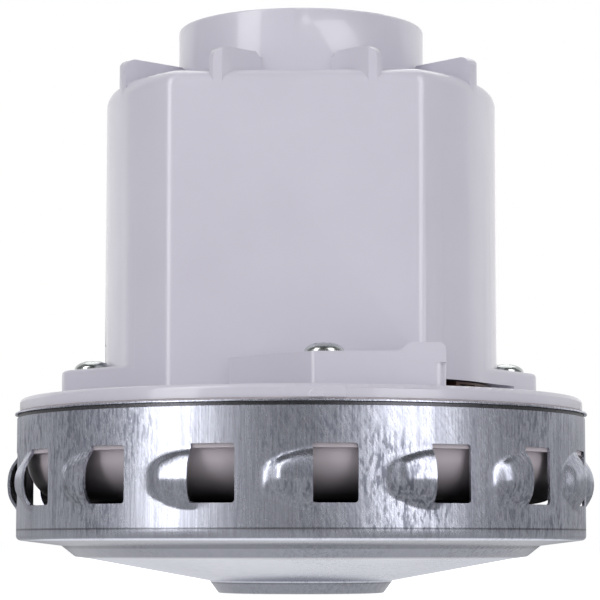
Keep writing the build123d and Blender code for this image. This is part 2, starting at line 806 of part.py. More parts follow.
with BuildSketch() as pole_shape:
    Rectangle(2 * yoke_r + yoke_thickness, 2 * pole_half_width)
    for turn in (0, 180):
        tip_start = 90 + turn - pole_tip_span / 2
        ring_sector(stator_bore_r, stator_bore_r + pole_tip_depth, tip_start, pole_tip_span)
    Circle(stator_bore_r, mode=Mode.SUBTRACT)

with BuildPart() as stator_core:
    with BuildSketch(Plane.XY.offset(stack_bottom)):
        hood_outline(stator_r, stator_flat, stator_corner)
        add(slot_window.sketch, mode=Mode.SUBTRACT)
        add(pole_shape.sketch)
        with Locations(*[around(post_circle_r, angle) for angle in post_angles]):
            Circle(stator_screw_r + seat_play, mode=Mode.SUBTRACT)
    extrude(amount=stack_height)
save(stator_core, "stator_core")


def pole_loop(side, reach, inner, outer, start_x, end_x):
    """Closed loop round a pole: inner and outer are its distances from the pole's iron."""
    middle = (stack_bottom + stack_top) / 2
    with BuildPart() as loop:
        with BuildSketch(Plane.YZ.offset(side * start_x)):
            with Locations((0, middle)):
                RectangleRounded(
                    2 * (pole_half_width + outer), stack_height + 2 * (reach + inner), coil_corner
                )
                Rectangle(2 * (pole_half_width + inner), stack_height + 2 * inner, mode=Mode.SUBTRACT)
        extrude(amount=side * (end_x - start_x))
    return loop


frame_outer = coil_play + coil_frame_wall
coil_inner = frame_outer + coil_play
coil_outer = coil_inner + coil_side
for name, side in (("left", -1), ("right", 1)):
    coil = pole_loop(side, coil_end_length, coil_inner, coil_outer, coil_inner_x, coil_outer_x)
    save(coil, "field_coil_" + name)
    frame_inner_x = coil_inner_x - coil_play - coil_frame_wall
    frame_outer_x = coil_outer_x + coil_play + coil_frame_wall
    with BuildPart() as coil_frame:
        sleeve = pole_loop(side, coil_frame_wall, coil_play, frame_outer, frame_inner_x, frame_outer_x)
        add(sleeve.part)
        inner_flange = pole_loop(
            side, coil_end_length, coil_play, coil_outer, frame_inner_x, frame_inner_x + coil_frame_wall
        )
        add(inner_flange.part)
        outer_flange = pole_loop(
            side, coil_end_length, coil_play, coil_outer, frame_outer_x - coil_frame_wall, frame_outer_x
        )
        add(outer_flange.part)
    save(coil_frame, "coil_frame_" + name)


# Rotor shaft, armature and commutator.
with BuildPart() as rotor_shaft:
    with BuildSketch(Plane.XY.offset(shaft_bottom)):
        Circle(shaft_r)
    extrude(amount=shaft_top - shaft_bottom)
    chamfer(rotor_shaft.edges().filter_by(GeomType.CIRCLE), length=shaft_chamfer)
    with BuildSketch(Plane.XY.offset(hub_top)):
        Circle(shaft_body_r)
    extrude(amount=upper_bearing_z - hub_top)
save(rotor_shaft, "rotor_shaft")

shaft_body_bore_r = shaft_body_r + seat_play
slot_floor_r = armature_r - armature_slot_depth
with BuildPart() as armature_core:
    with BuildSketch(Plane.XY.offset(stack_bottom)):
        Circle(armature_r)
        Circle(shaft_body_bore_r, mode=Mode.SUBTRACT)
        with PolarLocations((slot_floor_r + armature_r) / 2, armature_slots):
            Rectangle(armature_slot_depth + slip_play, armature_slot_width, mode=Mode.SUBTRACT)
    extrude(amount=stack_height)
save(armature_core, "armature_core")

with BuildPart() as armature_winding:
    for start_z, end_z in (
        (stack_bottom - winding_play - winding_end_length, stack_bottom - winding_play),
        (stack_top + winding_play, stack_top + winding_play + winding_end_length),
    ):
        with BuildSketch(Plane.XZ):
            with Locations(((winding_inner_r + winding_r) / 2, (start_z + end_z) / 2)):
                RectangleRounded(winding_r - winding_inner_r, winding_end_length, winding_round)
        revolve(axis=Axis.Z)
    with BuildSketch(Plane.XY.offset(stack_bottom - winding_round)):
        bar_inner_r = slot_floor_r + winding_play
        bar_outer_r = winding_r - winding_round
        with PolarLocations((bar_inner_r + bar_outer_r) / 2, armature_slots):
            Rectangle(bar_outer_r - bar_inner_r, armature_slot_width - 2 * winding_play)
    extrude(amount=stack_height + 2 * winding_round)
save(armature_winding, "armature_winding")

commutator_core_r = commutator_r - commutator_bar_depth
with BuildPart() as commutator_hub:
    with BuildSketch(Plane.XY.offset(commutator_bottom)):
        Circle(commutator_core_r)
        Circle(shaft_body_bore_r, mode=Mode.SUBTRACT)
    extrude(amount=commutator_height)
save(commutator_hub, "commutator_hub")

with BuildPart() as commutator_bars:
    bar_pitch = 360 / commutator_bar_count
    for number in range(commutator_bar_count):
        with BuildSketch(Plane.XY.offset(commutator_bottom)):
            start = number * bar_pitch
            ring_sector(commutator_core_r, commutator_r, start, bar_pitch * commutator_bar_share)
        extrude(amount=commutator_height)
        with BuildSketch(Plane.XY.offset(commutator_bottom)):
            ring_sector(commutator_r - riser_depth, commutator_r + riser_depth, start, bar_pitch * riser_share)
        extrude(amount=riser_height)
save(commutator_bars, "commutator_bars")


# Upper bracket: plate on four legs, with the bearing seat, air slots and brush sleeves.
brush_low = brush_centre_z - brush_height / 2
rubber_r = bearing_r + rubber_wall
seat_r = rubber_r + seat_wall
holder_gap = holder_play + holder_wall
sleeve_gap = holder_gap + seat_play
with BuildPart() as upper_bracket:
    with BuildSketch(Plane.XY.offset(upper_plate_bottom)):
        hood_outline(stator_r, stator_flat, stator_corner)
        for slot in range(air_slot_count):
            slot_start = first_air_slot + 360 / air_slot_count * slot - air_slot_span / 2
            with BuildSketch(mode=Mode.SUBTRACT):
                ring_sector(air_slot_inner_r, air_slot_outer_r, slot_start, air_slot_span)
    extrude(amount=upper_plate_thickness)
    with BuildSketch(Plane.XY.offset(upper_plate_bottom)):
        Circle(seat_r)
    extrude(amount=seat_floor + bearing_width)
    with BuildSketch(Plane.XY.offset(upper_bearing_z)):
        Circle(rubber_r + seat_play)
    extrude(amount=bearing_width, mode=Mode.SUBTRACT)
    with BuildSketch(Plane.XY.offset(upper_plate_bottom)):
        Circle(seat_bore_r)
    extrude(amount=seat_floor, mode=Mode.SUBTRACT)
    with BuildSketch(Plane.XY.offset(stack_top)):
        with Locations(*[around(post_circle_r, angle) for angle in post_angles]):
            Circle(post_r)
    extrude(amount=upper_plate_bottom - stack_top)
    for side in (-1, 1):
        with BuildSketch(Plane.YZ.offset(side * sleeve_inner_x)):
            with Locations((0, brush_centre_z)):
                Rectangle(
                    brush_width + 2 * (sleeve_gap + sleeve_wall), brush_height + 2 * (sleeve_gap + sleeve_wall)
                )
        extrude(amount=side * (sleeve_outer_x - sleeve_inner_x))
        with BuildSketch(Plane.YZ.offset(side * (sleeve_inner_x - cut_overrun))):
            with Locations((0, brush_centre_z)):
                Rectangle(brush_width + 2 * sleeve_gap, brush_height + 2 * sleeve_gap)
        extrude(amount=side * (sleeve_outer_x - sleeve_inner_x + 2 * cut_overrun), mode=Mode.SUBTRACT)
    with BuildSketch(Plane.XY.offset(stack_top)):
        with Locations(*[around(post_circle_r, angle) for angle in post_angles]):
            Circle(stator_screw_r + seat_play)
    extrude(amount=upper_plate_top - stack_top, mode=Mode.SUBTRACT)
save(upper_bracket, "upper_bracket")

with BuildPart() as bearing_rubber_ring:
    with BuildSketch(Plane.XY.offset(upper_bearing_z)):
        Circle(rubber_r)
        Circle(bearing_r + seat_play, mode=Mode.SUBTRACT)
    extrude(amount=bearing_width)
save(bearing_rubber_ring, "bearing_rubber_ring")

with BuildPart() as stator_screws:
    with BuildSketch(Plane.XY.offset(upper_plate_top)):
        with Locations(*[around(post_circle_r, angle) for angle in post_angles]):
            Circle(stator_screw_r)
    extrude(amount=-(upper_plate_top - stack_bottom + stator_screw_grip))
    with BuildSketch(Plane.XY.offset(upper_plate_top)):
        with Locations(*[around(post_circle_r, angle) for angle in post_angles]):
            RegularPolygon(stator_screw_head_r, 6)
    extrude(amount=stator_screw_head_height)
save(stator_screws, "stator_screws")


# Brushes: a carbon block in a brass tube on each side, pressed on the commutator by a spring.
brush_tip_x = commutator_r + running_play
brush_tail_x = brush_tip_x + brush_length
spring_start_x = brush_tail_x + running_play
spring_end_x = holder_outer_x - cap_plug_depth - running_play
for name, side in (("left", -1), ("right", 1)):
    with BuildPart() as brush_holder:
        with BuildSketch(Plane.YZ.offset(side * holder_inner_x)):
            with Locations((0, brush_centre_z)):
                Rectangle(brush_width + 2 * holder_gap, brush_height + 2 * holder_gap)
                Rectangle(
                    brush_width + 2 * holder_play, brush_height + 2 * holder_play, mode=Mode.SUBTRACT
                )
        extrude(amount=side * (holder_outer_x - holder_inner_x))
    save(brush_holder, "brush_holder_" + name)

    with BuildPart() as carbon_brush:
        with BuildSketch(Plane.YZ.offset(side * commutator_core_r)):
            with Locations((0, brush_centre_z)):
                Rectangle(brush_width, brush_height)
        extrude(amount=side * (brush_tail_x - commutator_core_r))
        with BuildSketch(Plane.XY.offset(brush_low)):
            Circle(brush_tip_x)
        extrude(amount=brush_height, mode=Mode.SUBTRACT)
    save(carbon_brush, "carbon_brush_" + name)

    with BuildPart() as brush_cap:
        with BuildSketch(Plane.YZ.offset(side * holder_outer_x)):
            with Locations((0, brush_centre_z)):
                Rectangle(brush_width + 2 * holder_gap, brush_height + 2 * holder_gap)
        extrude(amount=side * cap_thickness)
        with BuildSketch(Plane.YZ.offset(side * holder_outer_x)):
            with Locations((0, brush_centre_z)):
                Rectangle(brush_width, brush_height)
        extrude(amount=-side * cap_plug_depth)
    save(brush_cap, "brush_cap_" + name)

    with BuildPart() as brush_spring:
        spring_length = spring_end_x - spring_start_x - 2 * spring_wire_r
        coil_path_r = spring_r - spring_wire_r
        first_x = side * (spring_start_x + spring_wire_r)
        with BuildLine():
            coil_path = Helix(
                spring_length / spring_turns,
                spring_length,
                coil_path_r,
                center=(first_x, 0, brush_centre_z),
                direction=(side, 0, 0),
            )
        with BuildSketch(Plane(origin=coil_path @ 0, z_dir=coil_path % 0)):
            Circle(spring_wire_r)
        sweep(path=coil_path, is_frenet=True)
    save(brush_spring, "brush_spring_" + name)


# Cooling fan on the shaft's upper end, with its nut.
with BuildPart() as cooling_fan:
    with BuildSketch(Plane.XY.offset(fan_bottom)):
        Circle(fan_hub_r)
    extrude(amount=fan_hub_height)
    with BuildSketch(Plane.XY.offset(upper_bearing_z + bearing_width)):
        Circle(fan_nose_r)
    extrude(amount=fan_bottom - upper_bearing_z - bearing_width)
    fan_middle_z = fan_bottom + fan_hub_height / 2
    blade_sections = (
        (fan_hub_r - fan_blade_root, fan_root_chord, fan_root_pitch),
        (fan_r, fan_tip_chord, fan_tip_pitch),
    )
    for number in range(fan_blade_count):
        turn = 360 / fan_blade_count * number
        for section_r, chord, pitch in blade_sections:
            section_plane = Plane(
                origin=around(section_r, turn, fan_middle_z),
                x_dir=around(1, turn + 90),
                z_dir=around(1, turn),
            )
            with BuildSketch(section_plane):
                Rectangle(chord, fan_blade_thickness, rotation=pitch)
        loft(ruled=True)
    with BuildSketch(Plane.XY.offset(upper_bearing_z + bearing_width)):
        Circle(shaft_r + seat_play)
    extrude(amount=fan_top - upper_bearing_z - bearing_width, mode=Mode.SUBTRACT)
save(cooling_fan, "cooling_fan")

with BuildPart() as fan_nut:
    with BuildSketch(Plane.XY.offset(fan_top)):
        RegularPolygon(fan_nut_flats / 2, 6, major_radius=False)
        Circle(shaft_r + seat_play, mode=Mode.SUBTRACT)
    extrude(amount=fan_nut_height)
save(fan_nut, "fan_nut")


# Suction impeller: cone-shaped lower shroud with the eye, curved vanes and a flat back plate.
with BuildPart() as impeller_shroud:
    with BuildSketch(Plane.XZ):
        with BuildLine():
            FilletPolyline(
                (impeller_eye_r, impeller_eye_bottom),
                (impeller_eye_r, impeller_eye_top),
                (impeller_r, shroud_rim_z),
                radius=impeller_eye_round,
            )
            offset(amount=impeller_sheet, side=Side.RIGHT)
        make_face()
    revolve(axis=Axis.Z)
save(impeller_shroud, "impeller_shroud")

with BuildPart() as vane_channel:
    shroud_slope = (shroud_rim_z - impeller_eye_top) / (impeller_r - impeller_eye_r)
    with BuildSketch(Plane.XZ):
        Polygon(
            (0, impeller_eye_top - impeller_eye_r * shroud_slope + vane_play),
            (impeller_r, shroud_rim_z + vane_play),
            (impeller_r, backplate_bottom - vane_play),
            (0, backplate_bottom - vane_play),
            align=None,
        )
    revolve(axis=Axis.Z)

with BuildPart() as impeller_vanes:
    middle_length_share, middle_sweep_share = vane_middle_shares
    vane_middle_r = vane_inner_r + (vane_outer_r - vane_inner_r) * middle_length_share
    with BuildSketch(Plane.XY.offset(impeller_eye_bottom)):
        for number in range(vane_count):
            turn = 360 / vane_count * number
            with BuildLine():
                ThreePointArc(
                    around(vane_inner_r, turn),
                    around(vane_middle_r, turn - vane_sweep * middle_sweep_share),
                    around(vane_outer_r, turn - vane_sweep),
                )
            trace(line_width=impeller_sheet)
    extrude(amount=backplate_top - impeller_eye_bottom)
    add(vane_channel.part, mode=Mode.INTERSECT)
save(impeller_vanes, "impeller_vanes")

with BuildPart() as impeller_backplate:
    with BuildSketch(Plane.XY.offset(backplate_bottom)):
        Circle(impeller_r)
        Circle(shaft_r + seat_play, mode=Mode.SUBTRACT)
    extrude(amount=impeller_sheet)
save(impeller_backplate, "impeller_backplate")

with BuildPart() as impeller_spacer:
    with BuildSketch(Plane.XY.offset(backplate_top)):
        Circle(spacer_r)
        Circle(shaft_r + seat_play, mode=Mode.SUBTRACT)
    extrude(amount=lower_bearing_z - backplate_top)
save(impeller_spacer, "impeller_spacer")

with BuildPart() as impeller_washer:
    with BuildSketch(Plane.XY.offset(backplate_bottom)):
        Circle(washer_r)
        Circle(shaft_r + seat_play, mode=Mode.SUBTRACT)
    extrude(amount=-washer_thickness)
save(impeller_washer, "impeller_washer")

with BuildPart() as impeller_nut:
    with BuildSketch(Plane.XY.offset(backplate_bottom - washer_thickness)):
        RegularPolygon(impeller_nut_flats / 2, 6, major_radius=False)
        Circle(shaft_r + seat_play, mode=Mode.SUBTRACT)
    extrude(amount=-impeller_nut_height)
save(impeller_nut, "impeller_nut")


# Terminal block in the low window, with two blade tabs set into it.
terminal_face_r = hood_r - terminal_recess
tab_z = flange_top + terminal_height / 2
with BuildPart() as terminal_block:
    with BuildSketch(Plane.XY.offset(flange_top)):
        ring_sector(terminal_inner_r, terminal_face_r, terminal_start, terminal_end - terminal_start)
    extrude(amount=terminal_height)
    for angle in tab_angles:
        pocket_plane = Plane(
            origin=around(terminal_face_r + cut_overrun, angle, tab_z),
            x_dir=around(1, angle + 90),
            z_dir=around(1, angle),
        )
        with BuildSketch(pocket_plane):
            Rectangle(tab_pocket_width, tab_pocket_height)
        extrude(amount=-(tab_pocket_depth + cut_overrun), mode=Mode.SUBTRACT)
save(terminal_block, "terminal_block")

with BuildPart() as terminal_tabs:
    for angle in tab_angles:
        tab_plane = Plane(
            origin=around(terminal_face_r - tab_pocket_depth, angle, tab_z),
            x_dir=around(1, angle + 90),
            z_dir=around(1, angle),
        )
        with BuildSketch(tab_plane):
            Rectangle(tab_width, tab_thickness)
        extrude(amount=tab_length)
save(terminal_tabs, "terminal_tabs")
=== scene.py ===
"""Looks of the vacuum motor unit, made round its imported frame.

The frame gives every solid of the part in metres: +Z runs up the shaft, the inlet rim stands on
z 0 and the flat front of the hood faces -Y. Angles about the shaft are counted from -Y towards
+X, as in the part's own source. New pieces are surfaces worked out on grids of points.
"""

import json

import bmesh
import bpy
import numpy as np
from mathutils import Euler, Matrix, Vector


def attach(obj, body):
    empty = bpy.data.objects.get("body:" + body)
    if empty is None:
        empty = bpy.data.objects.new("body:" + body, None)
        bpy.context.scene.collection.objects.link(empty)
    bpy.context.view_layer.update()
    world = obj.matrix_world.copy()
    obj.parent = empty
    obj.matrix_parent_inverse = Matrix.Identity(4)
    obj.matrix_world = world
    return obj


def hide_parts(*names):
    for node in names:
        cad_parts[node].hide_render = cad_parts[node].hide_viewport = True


bl_info = {
    "name": "Vacuum motor unit",
    "version": (1, 0, 0),
    "blender": (4, 5, 0),
    "location": "3D View > Sidebar > Vacuum motor",
    "description": "Louvred fan case, moulded hood, screws and inner parts of a vacuum motor unit",
    "category": "Add Mesh",
}

MM = 0.001
MICRON = 0.000001
WHITE, BLACK = (1, 1, 1, 1), (0, 0, 0, 1)
FRAME_BODY = "motor_frame"
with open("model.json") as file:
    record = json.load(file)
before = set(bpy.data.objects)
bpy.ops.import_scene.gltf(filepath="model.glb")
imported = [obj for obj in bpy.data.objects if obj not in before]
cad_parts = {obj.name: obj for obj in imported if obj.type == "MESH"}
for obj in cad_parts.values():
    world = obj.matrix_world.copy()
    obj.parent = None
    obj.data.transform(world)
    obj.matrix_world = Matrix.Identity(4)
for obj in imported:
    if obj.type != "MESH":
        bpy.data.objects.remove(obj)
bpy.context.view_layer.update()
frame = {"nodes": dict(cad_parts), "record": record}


# Sizes and colours that a user would change
class FanCaseSettings(bpy.types.PropertyGroup):
    """Sizes of the pressed fan case and its louvres."""

    wall_radius: bpy.props.FloatProperty(
        name="Wall radius", description="Outer radius of the upright wall", default=0.0655, unit="LENGTH"
    )
    sheet: bpy.props.FloatProperty(
        name="Sheet", description="Thickness of the pressed sheet", default=0.0006, unit="LENGTH"
    )
    outlet_count: bpy.props.IntProperty(
        name="Outlets", description="Number of louvred outlets round the wall", default=16, min=3
    )
    first_lip: bpy.props.FloatProperty(
        name="First lip", description="Angle of the lip beside the first outlet",
        default=float(np.radians(4.2)), unit="ROTATION",
    )
    outlet_width: bpy.props.FloatProperty(
        name="Outlet width", description="Width of an outlet along the wall", default=0.0095, unit="LENGTH"
    )
    outlet_bottom: bpy.props.FloatProperty(
        name="Outlet foot", description="Height of the lower edge of the outlets", default=0.0196,
        unit="LENGTH",
    )
    outlet_top: bpy.props.FloatProperty(
        name="Outlet top", description="Height of the upper edge of the outlets", default=0.0319,
        unit="LENGTH",
    )
    louvre_rise: bpy.props.FloatProperty(
        name="Louvre rise", description="How far a lip stands out of the wall", default=0.0023, unit="LENGTH"
    )
    louvre_length: bpy.props.FloatProperty(
        name="Louvre length", description="Length of a louvre along the wall", default=0.0106, unit="LENGTH"
    )
    colour: bpy.props.FloatVectorProperty(
        name="Sheet colour", description="Colour of the clean zinc between the scores",
        default=(0.76, 0.78, 0.89), subtype="COLOR",
    )


class HoodSettings(bpy.types.PropertyGroup):
    """Edge rounding and colour of the moulded hood."""

    edge_round: bpy.props.FloatProperty(
        name="Edge round", description="Radius on the moulding's sharp edges", default=0.0003, unit="LENGTH"
    )
    colour: bpy.props.FloatVectorProperty(
        name="Hood colour", description="Base colour of the moulding", default=(0.635, 0.62, 0.70),
        subtype="COLOR",
    )


class ScrewSettings(bpy.types.PropertyGroup):
    """Sizes of the pan heads and their cross recess."""

    head_radius: bpy.props.FloatProperty(
        name="Head radius", description="Radius of a pan head", default=0.0043, unit="LENGTH"
    )
    head_height: bpy.props.FloatProperty(
        name="Head height", description="Height of a pan head", default=0.0023, unit="LENGTH"
    )
    recess_depth: bpy.props.FloatProperty(
        name="Recess depth", description="Depth of the cross recess", default=0.0015, unit="LENGTH"
    )


class StageSettings(bpy.types.PropertyGroup):
    """Camera and studio light."""

    camera_distance: bpy.props.FloatProperty(
        name="Camera distance", description="From the shaft axis", default=0.5683, unit="LENGTH"
    )
    camera_height: bpy.props.FloatProperty(
        name="Camera height", description="Above the inlet rim", default=0.0111, unit="LENGTH"
    )
    camera_azimuth: bpy.props.FloatProperty(
        name="Camera azimuth", description="Turn of the camera round the shaft, from the front",
        default=float(np.radians(2.1)), unit="ROTATION",
    )
    camera_pitch: bpy.props.FloatProperty(
        name="Camera pitch", description="How far the camera looks up", default=float(np.radians(5.7)),
        unit="ROTATION",
    )
    lens: bpy.props.FloatProperty(
        name="Lens", description="Focal length in millimetres", default=146.8, unit="CAMERA"
    )


SETTINGS = {
    "fan_case": FanCaseSettings,
    "hood": HoodSettings,
    "screws": ScrewSettings,
    "stage": StageSettings,
}


# Tools for meshes
FLAT_ANGLE = 0.004      # radians under which two facets of a CAD solid count as one flat face


def make_piece(name, points, faces, slot, sharp=35.0, sheet=0.0):
    """Object on the fixed body from a grid or list of points and an array of faces.

    It is shaded smooth but for edges over the sharp angle, which is in degrees. With a sheet
    thickness the surface becomes a closed shell: a copy moved inwards along the normals and a rim
    round every border.
    """
    points = points.reshape(-1, 3)
    mesh = bpy.data.meshes.new(name)
    mesh.vertices.add(len(points))
    mesh.vertices.foreach_set("co", np.asarray(points, np.float32).ravel())
    mesh.loops.add(faces.size)
    mesh.loops.foreach_set("vertex_index", faces.astype(np.int32).ravel())
    mesh.polygons.add(len(faces))
    mesh.polygons.foreach_set("loop_start", np.arange(0, faces.size, faces.shape[1], dtype=np.int32))
    mesh.update(calc_edges=True)
    mesh.validate()
    return finish_piece(name, mesh, slot, FRAME_BODY, sharp, sheet)


def finish_piece(name, mesh, slot, body, sharp, sheet=0.0):
    """Weld the mesh, give it its thickness, shade it, and put it on its body with its finish."""
    work = bmesh.new()
    work.from_mesh(mesh)
    bmesh.ops.remove_doubles(work, verts=work.verts, dist=MICRON)
    outer = len(work.faces)
    if sheet:
        bmesh.ops.solidify(work, geom=work.faces[:], thickness=sheet)
    work.to_mesh(mesh)
    work.free()
    if sheet:
        # the inner copy of a sheet is marked for painted shade
        mark_painted_shade(mesh, np.arange(len(mesh.polygons)) // outer == 1)
    mesh.polygons.foreach_set("use_smooth", np.ones(len(mesh.polygons), bool))
    mesh.set_sharp_from_angle(angle=float(np.radians(sharp)))
    piece = bpy.data.objects.new(name, mesh)
    bpy.context.scene.collection.objects.link(piece)
    mesh.materials.append(finish_of(slot))
    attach(piece, body)
    return piece


def mark_painted_shade(mesh, chosen):
    """Mark the faces that lie inside the can or in its groove, which the metal's material paints dark as
    shade.
    """
    mesh.attributes.new("inside", "FLOAT", "FACE").data.foreach_set("value", chosen.astype(np.float32))


def finish_of(slot):
    """Finish made for a slot of the record."""
    return bpy.data.materials[slot + "_finish"]


def grid_faces(rows, columns, closed=False):
    """Quads between the rows of a grid of points; closed joins the last column to the first."""
    last = columns if closed else columns - 1
    row, column = np.meshgrid(np.arange(rows - 1), np.arange(last), indexing="ij")
    here = row * columns + column
    beside = row * columns + (column + 1) % columns
    return np.stack([here, beside, beside + columns, here + columns], -1).reshape(-1, 4)


def unit(vector):
    """The vector at length one."""
    return vector / np.linalg.norm(vector)


def rounded_profile(corners, radii, steps=6):
    """Polyline whose inner corners are swapped for arcs: each arc turns from one side to the next."""
    corners = np.asarray(corners, float)
    rows = [corners[:1]]
    for before, corner, after, radius in zip(corners, corners[1:], corners[2:], radii):
        back, onward = unit(before - corner), unit(after - corner)
        half = np.arccos(np.clip(back @ onward, -1, 1)) / 2
        centre = corner + unit(back + onward) * radius / np.sin(half)
        first = corner + back * radius / np.tan(half) - centre
        last = corner + onward * radius / np.tan(half) - centre
        turn = np.pi - 2 * half
        share = np.linspace(0, 1, steps)[:, None]
        swung = np.sin((1 - share) * turn) * first + np.sin(share * turn) * last
        rows.append(centre + swung / np.sin(turn))
    rows.append(corners[-1:])
    return np.concatenate(rows)


def around_shaft(angle, radius, height):
    """Points at angles from -Y towards +X: radius times sine, minus radius times cosine, height."""
    angle, radius, height = np.broadcast_arrays(angle, radius, height)
    return np.stack([radius * np.sin(angle), -radius * np.cos(angle), height], -1)


def full_turn(count):
    """Angles of a whole turn in equal steps, without its end."""
    return np.linspace(0, 2 * np.pi, count, endpoint=False)


def turned(profile, angles):
    """Grid of points: each row is a profile point (radius, height) at every angle."""
    return around_shaft(angles, profile[:, :1], profile[:, 1:])


def smooth_step(value):
    """Rises from 0 to 1 with level ends."""
    value = np.clip(value, 0, 1)
    return value * value * (3 - 2 * value)


def dressed_copy(node, name, slot, width, segments=2, sharp=30.0):
    """Copy of a CAD solid whose edges over the sharp angle are rounded as a moulded edge is."""
    source = frame["nodes"][node]
    mesh = source.data.copy()
    mesh.name = name
    mesh.materials.clear()
    work = bmesh.new()
    work.from_mesh(mesh)
    bmesh.ops.remove_doubles(work, verts=work.verts, dist=2 * MICRON)
    bmesh.ops.dissolve_limit(
        work, angle_limit=FLAT_ANGLE, verts=work.verts, edges=work.edges, delimit={"NORMAL"}
    )
    work.to_mesh(mesh)
    work.free()
    piece = finish_piece(name, mesh, slot, frame_body(node), sharp)
    bevel = piece.modifiers.new("edge_round", "BEVEL")
    bevel.width = width
    bevel.segments = segments
    bevel.limit_method = "ANGLE"
    bevel.angle_limit = float(np.radians(sharp))
    bevel.use_clamp_overlap = True
    bevel.harden_normals = True
    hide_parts(node)
    return piece


def frame_body(node):
    """Name of the body that a CAD solid belongs to."""
    for body, members in frame["record"]["behaviour"]["bodies"].items():
        if node in members:
            return body
    raise RuntimeError("no body holds " + node)


# Materials
class Shader:
    """Short way to place and join nodes in a node tree."""

    def __init__(self, tree):
        self.tree = tree

    def add(self, kind, **values):
        """Node of a kind; a value names a property or a socket, and may be another node's output."""
        node = self.tree.nodes.new(kind)
        for key, value in values.items():
            if hasattr(node, key) and key not in node.inputs:
                setattr(node, key, value)
            else:
                self.put(node.inputs[key.replace("_", " ") if key not in node.inputs else key], value)
        return node

    def put(self, socket, value):
        """Set a socket, or link another node's output into it."""
        if isinstance(value, bpy.types.NodeSocket):
            self.tree.links.new(value, socket)
        else:
            socket.default_value = value

    def noise(self, vector, scale, detail=3.0, roughness=0.55):
        """Noise mask on a vector."""
        return self.add(
            "ShaderNodeTexNoise", Vector=vector, Scale=scale, Detail=detail, Roughness=roughness
        ).outputs[0]

    def fit(self, value, low, high, to_low=0.0, to_high=1.0):
        """Map a value from one range to another, clamped."""
        node = self.add("ShaderNodeMapRange", clamp=True)
        for socket, number in zip(node.inputs, (value, low, high, to_low, to_high)):
            self.put(socket, number)
        return node.outputs[0]

    def math(self, operation, first, second=0.0):
        """One arithmetic step."""
        node = self.add("ShaderNodeMath", operation=operation)
        self.put(node.inputs[0], first)
        self.put(node.inputs[1], second)
        return node.outputs[0]

    def times(self, first, second):
        """Product of two values."""
        return self.math("MULTIPLY", first, second)

    def total(self, *pairs):
        """Sum of values, each times its weight."""
        result = self.times(*pairs[0])
        for value, weight in pairs[1:]:
            result = self.math("ADD", result, self.times(value, weight))
        return result

    def place(self):
        """Object coordinates."""
        return self.add("ShaderNodeTexCoord").outputs["Object"]

    def height(self):
        """Height of the point above the inlet rim, in metres."""
        return self.add("ShaderNodeSeparateXYZ", Vector=self.place()).outputs[2]

    def mix(self, share, first, second, blend="MIX"):
        """Mix of two colours by a share."""
        node = self.add("ShaderNodeMix", data_type="RGBA", blend_type=blend)
        self.put(node.inputs[0], share)
        self.put(node.inputs[6], first)
        self.put(node.inputs[7], second)
        return node.outputs[2]

    def ramp(self, value, stops):
        """Grey level that runs from stop to stop as a value rises from 0 to 1."""
        node = self.add("ShaderNodeValToRGB", Fac=value)
        marks = node.color_ramp.elements
        for place, _ in stops[1:-1]:
            marks.new(place)
        for mark, (place, level) in zip(marks, stops):
            mark.position, mark.color = place, (level, level, level, 1)
        return node.outputs[0]

    def stretch(self, scale, turn=(0.0, 0.0, 0.0)):
        """Object coordinates turned, then stretched along the axes."""
        place = self.place()
        if any(turn):
            place = self.add("ShaderNodeMapping", Vector=place, Rotation=turn).outputs[0]
        return self.add("ShaderNodeMapping", Vector=place, Scale=scale).outputs[0]


def new_group(name, inputs, outputs):
    """Shader node group with named sockets. Inputs map a name to its default, outputs to a socket type."""
    group = bpy.data.node_groups.new(name, "ShaderNodeTree")
    for label, default in inputs.items():
        kind = "NodeSocketColor" if isinstance(default, tuple) else "NodeSocketFloat"
        socket = group.interface.new_socket(label, in_out="INPUT", socket_type=kind)
        socket.default_value = default
    for label, kind in outputs.items():
        group.interface.new_socket(label, in_out="OUTPUT", socket_type=kind)
    shader = Shader(group)
    return shader, group.nodes.new("NodeGroupInput").outputs, group.nodes.new("NodeGroupOutput").inputs


COLOUR, NUMBER = "NodeSocketColor", "NodeSocketFloat"


def moulded_group():
    """Moulded plastic: cloudy flow shades, a fine spark texture and small scuffs."""
    shader, given, made = new_group(
        "moulded_skin",
        {"Colour": (0.6, 0.6, 0.6, 1.0), "Grain": 900.0, "Shade": 0.05, "Roughness": 0.4},
        {"Colour": COLOUR, "Roughness": NUMBER, "Height": NUMBER},
    )
    place = shader.stretch((1, 1, 1))
    cloud = shader.noise(place, 26.0, 4.0)
    darker = shader.mix(1.0, given["Colour"], (0.90, 0.89, 0.90, 1), "MULTIPLY")
    shade = shader.times(shader.fit(cloud, 0.35, 0.7), given["Shade"])
    shader.put(made["Colour"], shader.mix(shader.times(shade, 10.0), given["Colour"], darker))
    scuff = shader.noise(shader.stretch((1, 1, 0.2)), 310.0, 2.0, 0.4)
    scuffed = shader.fit(scuff, 0.62, 0.8, 0.0, 0.12)
    uneven = shader.fit(shader.noise(place, 60.0, 3.0), 0.3, 0.7, -0.04, 0.05)
    rough = shader.math("ADD", given["Roughness"], shader.math("ADD", uneven, scuffed))
    shader.put(made["Roughness"], rough)
    grain = shader.add("ShaderNodeTexNoise", Vector=place, Scale=given["Grain"], Detail=2.0).outputs[0]
    shader.put(made["Height"], shader.total((grain, 1.0), (cloud, 1.5)))


